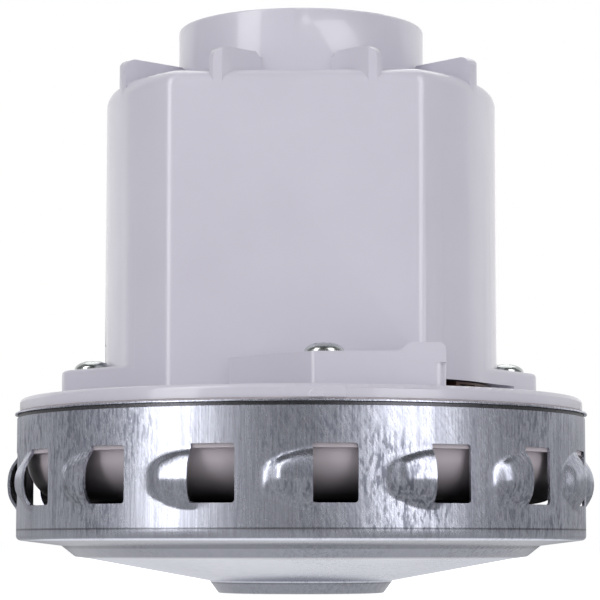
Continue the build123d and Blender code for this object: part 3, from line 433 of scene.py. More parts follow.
def drawn_metal_group():
    """Drawn sheet: fine scores along the pull, slanted hatching, broad bands and dark zinc flecks.

    Hatching and flecks keep to regions of their own. The share of the dark colour is a weighted
    sum of all the marks, and the relief one of the scores, the hatching and the flecks.
    """
    shader, given, made = new_group(
        "drawn_metal",
        {
            "Colour": (0.6, 0.6, 0.6, 1.0), "Dark": (0.3, 0.3, 0.3, 1.0), "Scores": 1.0, "Patches": 1.0,
            "Roughness": 0.3,
        },
        {"Colour": COLOUR, "Roughness": NUMBER, "Height": NUMBER},
    )
    scores, patches = given["Scores"], given["Patches"]
    whole = shader.stretch((1, 1, 1))
    fine = shader.noise(shader.stretch((1, 1, 0.03)), 3300.0, 2.0, 0.6)
    broad = shader.noise(shader.stretch((1, 1, 0.05)), 480.0, 3.0, 0.6)
    hatch = shader.noise(shader.stretch((1, 1, 0.07), (0.0, 0.5, 0.0)), 2300.0, 1.0, 0.5)
    flake = shader.noise(shader.stretch((1, 1, 0.28)), 1300.0, 3.0, 0.6)
    grain = shader.noise(whole, 2600.0, 2.0, 0.6)
    flake_region = shader.fit(shader.noise(whole, 34.0, 2.0), 0.47, 0.6)
    hatch_region = shader.fit(shader.noise(whole, 21.0, 2.0), 0.42, 0.58)
    score = shader.times(shader.fit(fine, 0.32, 0.68), scores)
    band = shader.times(shader.fit(broad, 0.32, 0.68), scores)
    slant = shader.times(shader.fit(hatch, 0.35, 0.65), shader.times(hatch_region, scores))
    patch = shader.times(shader.fit(flake, 0.48, 0.6), shader.times(flake_region, patches))
    speck = shader.times(shader.fit(grain, 0.35, 0.65), scores)
    share = shader.total((score, 0.34), (band, 0.26), (slant, 0.22), (speck, 0.14), (patch, 0.5))
    share.node.use_clamp = True
    shader.put(made["Colour"], shader.mix(share, given["Colour"], given["Dark"]))
    rough = shader.total((patch, 0.10), (band, 0.04))
    shader.put(made["Roughness"], shader.math("ADD", given["Roughness"], rough))
    flaked = shader.times(flake, patches)
    shader.put(made["Height"], shader.total((fine, 0.6), (broad, 0.4), (slant, 0.4), (flaked, 0.2)))


def wound_group():
    """Enamelled wire: bands of round turns across an axis, with light and dark strands, and painted shade in
    the valleys between the turns.
    """
    shader, given, made = new_group(
        "wound_wire",
        {"Colour": (0.4, 0.15, 0.06, 1.0), "Dark": (0.14, 0.04, 0.02, 1.0), "Turns": 1400.0},
        {"Colour": COLOUR, "Height": NUMBER},
    )
    place = shader.stretch((1, 1, 1))
    wave = shader.add(
        "ShaderNodeTexWave", Vector=place, Scale=given["Turns"], Distortion=1.2, bands_direction="DIAGONAL"
    )
    strand = shader.noise(place, 240.0, 2.0)
    # painted shade: the colour darkens in the valleys between turns
    depth = shader.fit(wave.outputs[1], 0.0, 0.6)
    light = shader.mix(shader.fit(strand, 0.3, 0.7), given["Dark"], given["Colour"])
    shader.put(made["Colour"], shader.mix(depth, given["Dark"], light))
    shader.put(made["Height"], wave.outputs[1])


def principled(slot):
    """New finish for a slot of the record, with only its Principled shader."""
    material = bpy.data.materials.new(slot + "_finish")
    material.use_nodes = True
    shader = Shader(material.node_tree)
    base = next(n for n in material.node_tree.nodes if n.type == "BSDF_PRINCIPLED")
    return shader, base


def use_group(shader, name, **values):
    """Place a shared effect in a material with its own values."""
    node = shader.tree.nodes.new("ShaderNodeGroup")
    node.node_tree = bpy.data.node_groups[name]
    for key, value in values.items():
        shader.put(node.inputs[key], value)
    return node


def bump(shader, base, height, strength, distance):
    """Bump from a height mask into the shader's normal."""
    node = shader.add("ShaderNodeBump", Strength=strength, Distance=distance, Height=height)
    shader.put(base.inputs["Normal"], node.outputs[0])


BUMP_DEPTH = 0.0001     # metres of relief at full strength
PAINTED_SHADE_TONE = (0.07, 0.065, 0.075, 1)          # painted shade low in the bracket's dish, which lies deep in shadow
PAINTED_SHADE_HEIGHTS = (0.0205, 0.0285)         # metres, from full painted shade up to none
PAINTED_INSIDE_SHADE = (0.10, 0.10, 0.11, 1)     # painted shade on the sheet inside the can and in the groove under the bead

# Heights in metres over which the wall's scores and flecks fade downwards, and their share in the pan
FADE_FOOT, FADE_TOP, FADED_SHARE = 0.012, 0.0146, 0.35

# Tones of the pan by height, with painted light in its lines: share of the height up to FADE_TOP and
# tone there. From below they are the rim, darker, a dark line of painted shade and a bright line of
# painted highlight at its edge, the cone, the step, darker, a dark line of painted shade, the
# shoulder, the bright corner, which is a painted highlight, the wall's foot and the dark line over
# it, a painted shadow at the step to the wall.
PAN_TONES_AND_PAINTED_LIGHT = (
    (0.0, 0.46), (0.148, 0.46),
    (0.156, 0.3), (0.168, 0.3), (0.176, 0.9), (0.188, 0.9), (0.194, 0.6),
    (0.2, 0.92), (0.545, 0.96),
    (0.56, 0.5), (0.69, 0.5),
    (0.7, 0.36), (0.733, 0.36),
    (0.742, 0.55), (0.81, 0.58),
    (0.818, 1.2), (0.838, 1.2),
    (0.848, 1.0), (0.966, 0.85),
    (0.973, 0.4), (0.99, 0.4),
    (1.0, 1.0),
)


def plastic_material(slot, colour, roughness=0.4, grain=900.0, coat=0.0, painted_shade=None):
    """Moulded plastic or rubber; a coat gives the gloss of a polished mould.

    The last argument is the pair of heights between which the moulding is painted darker
    downwards, as painted shade in a deep dish.
    """
    shader, base = principled(slot)
    skin = use_group(
        shader, "moulded_skin", Colour=(*colour, 1), Grain=grain, Shade=0.05, Roughness=roughness
    )
    tone = skin.outputs["Colour"]
    # painted shade: the colour darkens towards the bottom of the dish
    if painted_shade:
        tone = shader.mix(shader.fit(shader.height(), *painted_shade), PAINTED_SHADE_TONE, tone)
    shader.put(base.inputs["Base Color"], tone)
    shader.put(base.inputs["Roughness"], skin.outputs["Roughness"])
    base.inputs["IOR"].default_value = 1.5
    base.inputs["Coat Weight"].default_value = coat
    base.inputs["Coat Roughness"].default_value = 0.09
    bump(shader, base, skin.outputs["Height"], 0.12, BUMP_DEPTH)


def metal_material(slot, colour, dark, roughness, scores, patches, relief, brushed=0.0):
    """Drawn, turned or plated metal: clean and dark colour, roughness, share of scores, of flecks, relief.

    On the brushed sheet of the can the gloss spreads round the shaft, across the scores, the
    pressed pan gets its tones by height, with painted shade and painted highlights in its lines, and
    the inner faces are painted dark as shade.
    """
    shader, base = principled(slot)
    if brushed:
        height = shader.height()
        drawn = shader.fit(height, FADE_FOOT, FADE_TOP, FADED_SHARE, 1.0)
        scores, patches = shader.times(drawn, scores), shader.times(drawn, patches)
    skin = use_group(
        shader, "drawn_metal", Colour=(*colour, 1), Dark=(*dark, 1), Scores=scores, Patches=patches,
        Roughness=roughness,
    )
    tone = skin.outputs["Colour"]
    if brushed:
        # pan bands by height: darker rim and step, painted shade in the dark lines, painted highlights in
        # the bright ones
        pressed = shader.ramp(shader.fit(height, 0.0, FADE_TOP), PAN_TONES_AND_PAINTED_LIGHT)
        tone = shader.mix(1.0, tone, pressed, "MULTIPLY")
        # painted shade: faces inside the can and in the groove under the bead take a dark tone
        inside = shader.add("ShaderNodeAttribute", attribute_name="inside").outputs["Fac"]
        tone = shader.mix(inside, tone, PAINTED_INSIDE_SHADE)
        around = shader.add("ShaderNodeVectorMath", operation="CROSS_PRODUCT")
        shader.put(around.inputs[0], (0, 0, 1))
        shader.put(around.inputs[1], shader.place())
        shader.put(base.inputs["Tangent"], around.outputs[0])
        base.inputs["Anisotropic"].default_value = brushed
    shader.put(base.inputs["Base Color"], tone)
    shader.put(base.inputs["Roughness"], skin.outputs["Roughness"])
    base.inputs["Metallic"].default_value = 1.0
    bump(shader, base, skin.outputs["Height"], relief, BUMP_DEPTH)


def wire_material(slot, colour, dark, turns):
    """Enamelled winding wire."""
    shader, base = principled(slot)
    skin = use_group(shader, "wound_wire", Colour=(*colour, 1), Dark=(*dark, 1), Turns=turns)
    shader.put(base.inputs["Base Color"], skin.outputs["Colour"])
    base.inputs["Roughness"].default_value = 0.25
    base.inputs["Metallic"].default_value = 0.3
    bump(shader, base, skin.outputs["Height"], 0.5, 0.0003)


# Inner and plain mouldings: slot, colour, roughness, scale of the grain
PLASTICS = (
    ("insulation_plastic", (0.62, 0.60, 0.52), 0.5, 900.0),
    ("black_rubber", (0.02, 0.02, 0.02), 0.6, 600.0),
    ("cage_plastic", (0.03, 0.03, 0.03), 0.4, 900.0),
    ("brown_phenolic", (0.05, 0.018, 0.012), 0.38, 900.0),
    ("fan_plastic", (0.028, 0.028, 0.03), 0.42, 900.0),
    ("carbon", (0.022, 0.022, 0.024), 0.5, 1500.0),
)

# Metals but for the can's sheet: slot, clean colour, dark colour, roughness, scores, flecks, relief
METALS = (
    ("zinc_plate", (0.62, 0.63, 0.64), (0.42, 0.43, 0.44), 0.3, 0.4, 0.4, 0.2),
    ("screw_zinc", (0.60, 0.63, 0.62), (0.36, 0.39, 0.38), 0.22, 0.3, 0.6, 0.2),
    ("lamination_steel", (0.26, 0.26, 0.28), (0.12, 0.11, 0.11), 0.45, 0.6, 1.0, 0.3),
    ("bearing_steel", (0.70, 0.71, 0.72), (0.55, 0.56, 0.57), 0.14, 0.3, 0.2, 0.05),
    ("shaft_steel", (0.56, 0.57, 0.58), (0.40, 0.40, 0.41), 0.22, 0.5, 0.3, 0.1),
    ("bare_copper", (0.75, 0.38, 0.24), (0.42, 0.18, 0.10), 0.28, 0.6, 0.4, 0.1),
    ("impeller_aluminium", (0.76, 0.77, 0.78), (0.56, 0.57, 0.58), 0.3, 0.6, 0.3, 0.15),
    ("holder_brass", (0.74, 0.58, 0.30), (0.50, 0.36, 0.16), 0.28, 0.5, 0.5, 0.15),
    ("spring_steel", (0.50, 0.50, 0.51), (0.30, 0.30, 0.31), 0.25, 0.5, 0.3, 0.1),
)


class OBJECT_OT_motor_materials(bpy.types.Operator):
    """Make the finishes of every piece of the motor unit"""

    bl_idname = "object.motor_materials"
    bl_label = "Finishes"

    def execute(self, context):
        """Build the shared effects, then one material for each slot of the record."""
        moulded_group()
        drawn_metal_group()
        wound_group()
        plastic_material("white_plastic", tuple(context.scene.motor_hood.colour), 0.34, coat=0.6)
        # the bracket's dish gets painted shade towards its bottom
        plastic_material("bracket_plastic", (0.54, 0.49, 0.53), 0.42, painted_shade=PAINTED_SHADE_HEIGHTS)
        for values in PLASTICS:
            plastic_material(*values)
        sheet_colour = tuple(context.scene.motor_fan_case.colour)
        metal_material("zinc_sheet", sheet_colour, (0.24, 0.25, 0.31), 0.25, 1.0, 1.0, 0.07, brushed=0.8)
        for values in METALS:
            metal_material(*values)
        wire_material("enamelled_copper", (0.46, 0.17, 0.06), (0.12, 0.035, 0.015), 900.0)
        for entry in frame["record"]["subparts"]:
            node = frame["nodes"][entry["node"]]
            node.data.materials.clear()
            node.data.materials.append(finish_of(entry["material_slot"]))
        return {"FINISHED"}


# Fan case: heights, radii and lengths in millimetres
WALL_ROWS_LOW = (14.25, 15.5, 16.8, 17.6, 18.0, 18.2, 18.4, 18.6, 18.8, 19.0, 19.2, 19.4)
WALL_ROWS_HIGH = (32.25, 32.7, 33.5, 35.5, 37.5, 39.65)
OUTLET_ROWS = 22        # rows of the grid over the height of an outlet
EDGE_STEPS = (0, 0.1, 0.25, 0.45, 0.8)      # fine lines of the grid beside an outlet's edges
BESIDE_OPENING = (0.35, 0.8, 1.6)           # lines of the grid past an outlet's far side
LOUVRE_NOSE = 4.4       # finely gridded length at a louvre's narrow end
FADE_LENGTH = 1.8       # past the lip, under the outlet, in which a louvre's rise ends
LOUVRE_BELOW, LOUVRE_ABOVE = 1.4, -0.7      # how far a louvre reaches past its outlet's foot and top
CORNER_ROUND = 0.8      # corner radius of an outlet

# Pan from the rim's inner lip out to the wall: corners (radius, height) and the arcs at the inner ones
PAN_CORNERS = (
    (16.0, 4.0), (16.0, 0.0), (19.0, 0.0), (21.1, 2.8), (48.4, 7.8), (52.0, 8.3), (55.1, 10.75),
    (65.5, 12.05), (65.5, 14.25),
)
PAN_ARCS = (0.7, 0.5, 0.4, 0.8, 0.5, 0.5, 1.1)

# Top edge: the groove, the rolled bead over it and the edge behind the bead; the groove and that edge get
# painted shade
BEAD_CORNERS = (
    (64.3, 39.65), (65.5, 39.65), (65.5, 39.68), (65.1, 39.7), (65.1, 40.44), (66.0, 40.5),
    (65.95, 40.86), (65.6, 40.92), (64.5, 40.94), (64.5, 41.3), (64.3, 41.3), (64.3, 39.65),
)
BEAD_ARCS = (0.02, 0.02, 0.04, 0.04, 0.06, 0.1, 0.05, 0.05, 0.02, 0.02)
GROOVE_REACH = 65.4     # radius inside which the faces of that section are painted dark as shade
WAVE_FOOT, WAVE_HEIGHT = 40.4, 0.03         # the bead waves over this height, by this much


class OBJECT_OT_fan_case(bpy.types.Operator):
    """Build the pressed fan case with its louvred outlets"""

    bl_idname = "object.motor_fan_case"
    bl_label = "Fan case"

    def execute(self, context):
        """Wall and pan as surfaces with the sheet's thickness put behind them, and the bead."""
        case = context.scene.motor_fan_case
        self.wall(case)
        self.pan(case)
        self.bead()
        return {"FINISHED"}

    def wall(self, case):
        """Upright wall: for each outlet one patch with its louvre and one with its opening.

        A patch is a grid of lengths along the wall, counted from the lip, and heights. Length over
        the wall's radius gives the angle, and the louvre's rise is added to the radius.
        """
        pitch = 2 * np.pi / case.outlet_count
        low, high = case.outlet_bottom, case.outlet_top
        near, beside = np.array(EDGE_STEPS) * MM, np.array(BESIDE_OPENING) * MM
        nose = -case.louvre_length + LOUVRE_NOSE * MM
        start = case.outlet_width + beside[-1] - pitch * case.wall_radius
        left = np.concatenate([
            np.linspace(start, -case.louvre_length, 4)[:-1],
            np.linspace(-case.louvre_length, nose, 12)[:-1],
            np.linspace(nose, 0, 8),
        ])
        right = np.concatenate([
            near,
            np.array([1.3, FADE_LENGTH]) * MM,
            np.linspace(near[-1], case.outlet_width - near[-1], 5)[2:-1],
            case.outlet_width - near[::-1],
            case.outlet_width + beside,
        ])
        rows = np.concatenate([
            np.array(WALL_ROWS_LOW) * MM,
            low + near,
            np.linspace(low + near[-1], high - near[-1], OUTLET_ROWS),
            high - near,
            np.array(WALL_ROWS_HIGH) * MM,
        ])
        rows = np.unique(np.round(rows, 7))
        patches = []
        for columns, raised in ((left, True), (right, False)):
            across, up = np.meshgrid(columns, rows)
            rise = self.louvre(case, across, up)
            shifted, lifted = (across, up) if raised else self.round_corners(case, across, up)
            faces = grid_faces(len(rows), len(columns))
            if not raised:
                middle_x = across.ravel()[faces].mean(1)
                middle_z = up.ravel()[faces].mean(1)
                faces = faces[~((middle_x < case.outlet_width) & (middle_z > low) & (middle_z < high))]
            for number in range(case.outlet_count):
                angle = case.first_lip + pitch * number + shifted / case.wall_radius
                points = around_shaft(angle, case.wall_radius + rise, lifted)
                patches.append((points.reshape(-1, 3), faces))
        starts = np.cumsum([0] + [len(points) for points, _ in patches[:-1]])
        all_points = np.concatenate([points for points, _ in patches])
        all_faces = np.concatenate([faces + first for (_, faces), first in zip(patches, starts)])
        wall = make_piece("fan_case_wall", all_points, all_faces, "zinc_sheet", sheet=case.sheet)
        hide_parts("fan_case")

    @staticmethod
    def pan(case):
        """Lower part of the can: the pressed profile of rim, cone, step, shoulder and corner, turned."""
        profile = rounded_profile(np.array(PAN_CORNERS) * MM, np.array(PAN_ARCS) * MM)
        points = turned(profile, full_turn(320))
        faces = grid_faces(*points.shape[:2], closed=True)
        make_piece("fan_case_pan", points, faces, "zinc_sheet", sheet=case.sheet)

    @staticmethod
    def bead():
        """Rolled bead on the top edge over a narrow groove: a closed section turned round the shaft.

        Its height waves a little, by a sum of three sines of the angle.
        """
        section = rounded_profile(np.array(BEAD_CORNERS) * MM, np.array(BEAD_ARCS) * MM, steps=4)
        angles = full_turn(480)
        points = turned(section, angles)
        waves = np.sin(angles * 9 + 1) + np.sin(angles * 23) * 0.6 + np.sin(angles * 41 + 2) * 0.5
        points[..., 2] += WAVE_HEIGHT * MM * waves * (points[..., 2] > WAVE_FOOT * MM)
        faces = grid_faces(*points.shape[:2], closed=True)
        bead = make_piece("fan_case_bead", points, faces, "zinc_sheet", sharp=12.0)
        # faces deep in the groove and behind the bead are marked for painted shade
        centres = np.empty(len(bead.data.polygons) * 3, np.float32)
        bead.data.polygons.foreach_get("center", centres)
        mark_painted_shade(bead.data, np.hypot(centres[0::3], centres[1::3]) < GROOVE_REACH * MM)

    @staticmethod
    def louvre(case, across, up):
        """Rise of the sheet at a louvre.

        The louvre's half height grows from its narrow end to its lip as a share plus a quarter of
        a sine wave. Its crest climbs in a smooth step over the first part of the length and barely
        after that. Across it the section is an arch: one less the height's share to a power, all
        to a power, with a little of a straight slope that leaves a crease at the foot. Right of
        the lip, under the outlet, the rest of the rise fades out.
        """
        share = np.clip(across / case.louvre_length + 1, 0, 1)
        low, high = case.outlet_bottom - LOUVRE_BELOW * MM, case.outlet_top + LOUVRE_ABOVE * MM
        middle = (low + high) / 2
        reach = 0.42 + 0.58 * np.sin(np.pi / 2 * share)
        crest = 0.82 * smooth_step(share / 0.42) + 0.18 * share
        height = (up - middle) / (high - middle) / reach
        below, above = np.clip(-height, 0, 1), np.clip(height, 0, 1)
        low_arch = 0.8 * (1 - below**3.6) ** 2.4 + 0.2 * (1 - below)
        high_arch = 0.85 * (1 - above**3.4) ** 1.5 + 0.15 * (1 - above)
        fade = 1 - smooth_step(across / (FADE_LENGTH * MM))
        return case.louvre_rise * crest * np.minimum(low_arch, high_arch) * fade

    @staticmethod
    def round_corners(case, across, up):
        """Move the points round an outlet on to rounded corners, away from the louvre's lip.

        A point on an outline that lies a distance outside the outlet keeps that outline, and
        within the corner radius of a corner it is moved along a quarter circle.
        """
        half_x = case.outlet_width / 2
        half_z = (case.outlet_top - case.outlet_bottom) / 2
        middle = (case.outlet_top + case.outlet_bottom) / 2
        x, z = across - half_x, up - middle
        outside = np.maximum(np.abs(x) - half_x, np.abs(z) - half_z)
        corner = CORNER_ROUND * MM
        radius = corner * np.clip(1 - outside / corner, 0, 1) * (outside > -10 * MICRON)
        corner_x, corner_z = half_x + outside, half_z + outside
        to_x, to_z = corner_x - np.abs(x), corner_z - np.abs(z)
        on_end = (to_z < MICRON) & (to_x < radius) & (x > 0)
        on_side = (to_x < MICRON) & (to_z < radius) & (x > 0) & ~on_end
        safe = np.maximum(radius, MICRON)
        end_turn = (1 - to_x / safe) * np.pi / 4
        side_turn = (1 - to_z / safe) * np.pi / 4
        new_x = np.where(on_end, corner_x - radius + radius * np.sin(end_turn), np.abs(x))
        new_z = np.where(on_end, corner_z - radius + radius * np.cos(end_turn), np.abs(z))
        new_x = np.where(on_side, corner_x - radius + radius * np.cos(side_turn), new_x)
        new_z = np.where(on_side, corner_z - radius + radius * np.sin(side_turn), new_z)
        return half_x + np.sign(x) * new_x, middle + np.sign(z) * new_z


# Foot flange of the hood, in millimetres and degrees: section of its sharp rim (radius, height), and
# the mould mark on it with its boss
RIM_SECTION = ((63.4, 41.32), (64.93, 41.32), (64.93, 43.2), (63.4, 43.2), (63.4, 41.32))
MARK_ANGLES, MARK_HEIGHTS, MARK_RADIUS = (-0.5, 10.3), (41.35, 43.6), 64.9
MARK_RISE, MARK_EDGE, MARK_THICKNESS = 0.13, 0.2, 0.3
BOSS_ANGLE, BOSS_RADIUS, BOSS_RISE, BOSS_EDGE = 4.9, 1.8, 0.22, 0.25


class OBJECT_OT_hood(bpy.types.Operator):
    """Dress the moulded hood"""

    bl_idname = "object.motor_hood_dress"
    bl_label = "Motor hood"

    def execute(self, context):
        """Round the moulding's edges, then add the flange's sharp rim and its mould mark."""
        hood = context.scene.motor_hood
        dressed_copy("motor_hood", "hood_moulding", "white_plastic", hood.edge_round)
        self.flange_rim()
        self.mould_mark()
        return {"FINISHED"}

    @staticmethod
    def flange_rim():
        """Sharp lower edge of the foot flange: a closed square section turned round the shaft."""
        points = turned(np.array(RIM_SECTION) * MM, full_turn(480))
        make_piece("hood_flange_rim", points, grid_faces(*points.shape[:2], closed=True), "white_plastic")

    @staticmethod
    def mould_mark():
        """Low raised patch on the flange's rim with half a round boss on it.

        Over a grid of angle and height the patch stands out by one level inside its sides, and the
        boss is a disc of another level about a point on its lower edge.
        """
        angle, height = np.meshgrid(
            np.radians(np.linspace(*MARK_ANGLES, 109)), np.linspace(*MARK_HEIGHTS, 31) * MM
        )
        side = np.minimum(angle - angle.min(), angle.max() - angle) * MARK_RADIUS * MM
        inset = np.minimum(side, height.max() - height)
        along = (angle - np.radians(BOSS_ANGLE)) * MARK_RADIUS * MM
        away = np.hypot(along, height - MARK_HEIGHTS[0] * MM)
        patch = MARK_RISE * smooth_step(inset / (MARK_EDGE * MM))
        boss = BOSS_RISE * smooth_step((BOSS_RADIUS * MM - away) / (BOSS_EDGE * MM))
        points = around_shaft(angle, (MARK_RADIUS + patch + boss) * MM, height)
        faces = grid_faces(*angle.shape)
        make_piece("hood_mould_mark", points, faces, "white_plastic", sheet=MARK_THICKNESS * MM)


# Hood screws, in millimetres and degrees
SCREW_CIRCLE = 48.2
SCREW_SEATS = ((8, 51.6), (98, 50.8), (188, 50.8), (278, 50.8))     # angle and height of each seat
HEAD_EDGE = 0.5         # upright rim of a head under its dome
ARM_HALF, ARM_TAPER, ARM_REACH, ARM_WALL = 0.62, 0.09, 2.7, 0.22        # arms of the cross recess
HEAD_RINGS = ((4.3, 0.12), (4.15, 0.0), (2.0, 0.0))     # radius and height down to the shank
SHANK_RINGS = ((2.0, -15.2), (1.2, -16.0), (0.01, -16.0))


class OBJECT_OT_hood_screws(bpy.types.Operator):
    """Build the pan-head screws of the hood"""

    bl_idname = "object.motor_hood_screws"
    bl_label = "Hood screws"

    def execute(self, context):
        """Four screws on the block and the lugs, each driven home at another turn."""
        points, faces = self.screw(context.scene.motor_screws)
        for number, (angle, seat) in enumerate(SCREW_SEATS, 1):
            turn = np.radians(angle * 3.7 + 11)
            cos, sin = np.cos(turn), np.sin(turn)
            spun = points @ np.array([[cos, sin, 0], [-sin, cos, 0], [0, 0, 1]])
            placed = spun + around_shaft(np.radians(angle), SCREW_CIRCLE, seat) * MM
            piece = make_piece("hood_screw_%d" % number, placed, faces, "screw_zinc", sharp=40.0)
            if number == 1:
                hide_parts("hood_screws")
        return {"FINISHED"}

    @staticmethod
    def screw(screws, count=61):
        """Points and faces of one screw.

        The head is a square grid drawn on to a disc: x times the root of one less half of y
        squared, and the same for y. Its height is a dome less the recess, whose four arms narrow
        and rise towards their ends. Rings below it make the rim, the seat and the shank.
        """
        u, v = np.meshgrid(np.linspace(-1, 1, count), np.linspace(-1, 1, count))
        x, y = u * np.sqrt(1 - v * v / 2), v * np.sqrt(1 - u * u / 2)
        reach = np.sqrt(x * x + y * y)
        edge = HEAD_EDGE * MM
        dome = edge + (screws.head_height - edge) * (1 - reach**2.6) ** 0.62
        along = np.maximum(np.abs(x), np.abs(y)) * screws.head_radius / MM
        aside = np.minimum(np.abs(x), np.abs(y)) * screws.head_radius / MM
        arm = ARM_HALF - ARM_TAPER * along
        slope = np.clip(1 - (along / ARM_REACH) ** 2, 0, 1)
        depth = screws.recess_depth * slope * smooth_step((arm - aside) / ARM_WALL + 0.5)
        top = np.stack([x * screws.head_radius, y * screws.head_radius, dome - depth], -1).reshape(-1, 3)
        index = np.arange(count * count).reshape(count, count)
        border = np.concatenate([index[0, :-1], index[:-1, -1], index[-1, :0:-1], index[:0:-1, 0]])
        outward = top[border, :2] / np.linalg.norm(top[border, :2], axis=1, keepdims=True)
        points, faces = [top], [grid_faces(count, count)]
        previous, start = border, count * count
        for radius, height in HEAD_RINGS + SHANK_RINGS:
            points.append(np.column_stack([outward * radius * MM, np.full(len(border), height * MM)]))
            current = start + np.arange(len(border))
            faces.append(np.stack([previous, current, np.roll(current, -1), np.roll(previous, -1)], -1))
            previous, start = current, start + len(border)
        return np.concatenate(points), np.concatenate(faces)


# Stage, in metres and degrees
CAMERA_YAW = 0.025      # the camera looks this much past the shaft
FLOOR_LEVEL, FLOOR_HALF = -0.0003, 30.0
FLOOR_COLOUR = (0.85, 0.85, 0.85, 1)
FLOOR_SEEN = 0.86       # glow of the floor to the camera, on top of its lit colour
UNDER_REACH, UNDER_END, UNDER_LEVEL = 0.066, 0.074, 0.85        # floor under the case, as gloss sees it
AROUND_FRONT, AROUND_BEHIND, AROUND_DEPTH = 0.38, 0.5, 0.6      # the rest of it, up to a depth
AMBIENT = (0.16, 0.161, 0.168, 1)
LAMP_TARGET = (0, 0, 0.06)

# Name, azimuth, elevation, distance, width and height, power in watts
LAMPS = (
    ("lamp_left", -48, 25, 1.15, (0.45, 1.3), 6.9),
    ("lamp_right", 44, 25, 1.15, (0.6, 1.3), 6.9),
    ("lamp_top", 180, 60, 1.3, (1.0, 1.0), 4.0),
    ("lamp_back_left", -150, 28, 1.4, (1.6, 1.3), 3.4),
    ("lamp_back_right", 145, 28, 1.4, (1.6, 1.3), 3.4),
)


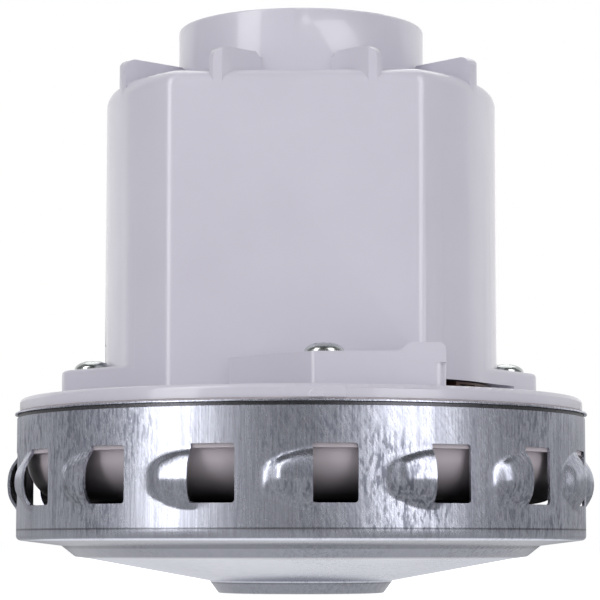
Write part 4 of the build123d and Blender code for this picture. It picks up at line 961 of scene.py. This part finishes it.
class OBJECT_OT_stage(bpy.types.Operator):
    """Set the floor, the camera and the studio light"""

    bl_idname = "object.motor_stage"
    bl_label = "Stage"

    def execute(self, context):
        """Camera at the photographed angle, white ground and soft lamps."""
        scene = context.scene
        scene.view_settings.view_transform = "Standard"
        self.camera(scene)
        self.floor(scene)
        self.world(scene)
        for values in LAMPS:
            self.lamp(scene, *values)
        return {"FINISHED"}

    @staticmethod
    def camera(scene):
        """Camera at its height and distance, turned with its azimuth and pitched up."""
        stage = scene.motor_stage
        camera = bpy.data.objects.new("camera", bpy.data.cameras.new("camera"))
        scene.collection.objects.link(camera)
        camera.data.lens = stage.lens
        camera.data.sensor_width = 36.0
        camera.data.clip_start, camera.data.clip_end = 0.01, 100.0
        turn = stage.camera_azimuth
        camera.location = around_shaft(turn, stage.camera_distance, stage.camera_height)
        camera.rotation_euler = Euler((np.pi / 2 + stage.camera_pitch, 0, turn + np.radians(CAMERA_YAW)))
        scene.camera = camera

    @staticmethod
    def floor(scene):
        """Pale floor just under the rim.

        The camera sees it near white with the object's soft shadow. In gloss it is bright under
        the case and dimmer around it.
        """
        material = bpy.data.materials.new("floor_white")
        material.use_nodes = True
        shader = Shader(material.node_tree)
        base = next(n for n in material.node_tree.nodes if n.type == "BSDF_PRINCIPLED")
        base.inputs["Roughness"].default_value = 0.9
        base.inputs["Specular IOR Level"].default_value = 0.0
        base.inputs["Emission Color"].default_value = WHITE
        path = shader.add("ShaderNodeLightPath")
        glossy = path.outputs["Is Glossy Ray"]
        seen = shader.math("MAXIMUM", path.outputs["Is Camera Ray"], path.outputs["Is Transmission Ray"])
        place = shader.place()
        reach = shader.add("ShaderNodeVectorMath", operation="LENGTH", Vector=place).outputs["Value"]
        depth = shader.add("ShaderNodeSeparateXYZ", Vector=place).outputs[1]
        under = shader.fit(reach, UNDER_REACH, UNDER_END, UNDER_LEVEL, 0.0)
        around = shader.fit(depth, 0.0, AROUND_DEPTH, AROUND_FRONT, AROUND_BEHIND)
        gloss = shader.times(glossy, shader.math("MAXIMUM", under, around))
        shader.put(base.inputs["Base Color"], shader.mix(glossy, FLOOR_COLOUR, BLACK))
        glow = shader.math("ADD", shader.times(seen, FLOOR_SEEN), gloss)
        shader.put(base.inputs["Emission Strength"], glow)
        mesh = bpy.data.meshes.new("floor")
        signs = ((-1, -1), (1, -1), (1, 1), (-1, 1))
        corners = [(x * FLOOR_HALF, y * FLOOR_HALF, FLOOR_LEVEL) for x, y in signs]
        mesh.from_pydata(corners, [], [(0, 1, 2, 3)])
        floor = bpy.data.objects.new("floor", mesh)
        scene.collection.objects.link(floor)
        mesh.materials.append(material)

    @staticmethod
    def world(scene):
        """White to the camera, a plain level to diffuse light, and shades of grey to gloss.

        Gloss sees it brighter behind the object than in front of it and dimmer overhead, with a
        lighter patch straight behind.
        """
        world = bpy.data.worlds.new("studio")
        world.use_nodes = True
        scene.world = world
        shader = Shader(world.node_tree)
        background = next(n for n in world.node_tree.nodes if n.type == "BACKGROUND")
        path = shader.add("ShaderNodeLightPath")
        direction = shader.add("ShaderNodeTexCoord").outputs["Generated"]
        split = shader.add("ShaderNodeSeparateXYZ", Vector=direction)
        behind = shader.fit(split.outputs[1], -0.45, 0.7, 0.17, 0.48)
        straight = shader.fit(split.outputs[1], 0.95, 0.99, 0.0, 0.5)
        level = shader.times(behind, shader.fit(split.outputs[2], 0.12, 0.6, 1.0, 0.4))
        gloss = shader.mix(shader.math("ADD", level, straight), BLACK, WHITE)
        ambient = shader.mix(path.outputs["Is Glossy Ray"], AMBIENT, gloss)
        seen = shader.math("MAXIMUM", path.outputs["Is Camera Ray"], path.outputs["Is Transmission Ray"])
        shader.put(background.inputs[0], shader.mix(seen, ambient, WHITE))

    @staticmethod
    def lamp(scene, name, azimuth, elevation, distance, size, power):
        """Soft rectangular lamp that looks at the object from an azimuth and an elevation."""
        light = bpy.data.lights.new(name, "AREA")
        light.shape = "RECTANGLE"
        light.size, light.size_y = size
        light.energy = power
        lamp = bpy.data.objects.new(name, light)
        scene.collection.objects.link(lamp)
        turn, lift = np.radians(azimuth), np.radians(elevation)
        back = Vector((np.sin(turn) * np.cos(lift), -np.cos(turn) * np.cos(lift), np.sin(lift)))
        lamp.location = Vector(LAMP_TARGET) + back * distance
        lamp.rotation_euler = (-back).to_track_quat("-Z", "Y").to_euler()


STEPS = (
    OBJECT_OT_motor_materials, OBJECT_OT_fan_case, OBJECT_OT_hood, OBJECT_OT_hood_screws, OBJECT_OT_stage,
)


class VIEW3D_PT_vacuum_motor(bpy.types.Panel):
    """Buttons and sizes of the vacuum motor unit"""

    bl_label = "Vacuum motor"
    bl_idname = "VIEW3D_PT_vacuum_motor"
    bl_space_type = "VIEW_3D"
    bl_region_type = "UI"
    bl_category = "Vacuum motor"

    def draw(self, context):
        """List the steps, then each group of settings."""
        for step in STEPS:
            self.layout.operator(step.bl_idname)
        for name, group in SETTINGS.items():
            box = self.layout.box()
            for key in group.__annotations__:
                box.prop(getattr(context.scene, "motor_" + name), key)


def register():
    """Add the settings, the operators and the panel."""
    for name, group in SETTINGS.items():
        bpy.utils.register_class(group)
        setattr(bpy.types.Scene, "motor_" + name, bpy.props.PointerProperty(type=group))
    for step in STEPS:
        bpy.utils.register_class(step)
    bpy.utils.register_class(VIEW3D_PT_vacuum_motor)


def unregister():
    """Take away what register added."""
    bpy.utils.unregister_class(VIEW3D_PT_vacuum_motor)
    for step in reversed(STEPS):
        bpy.utils.unregister_class(step)
    for name, group in SETTINGS.items():
        delattr(bpy.types.Scene, "motor_" + name)
        bpy.utils.unregister_class(group)


def main():
    """Make every piece in order."""
    register()
    bpy.ops.object.motor_materials()
    bpy.ops.object.motor_fan_case()
    bpy.ops.object.motor_hood_dress()
    bpy.ops.object.motor_hood_screws()
    bpy.ops.object.motor_stage()
    bpy.context.view_layer.update()


if __name__ == "__main__":
    main()
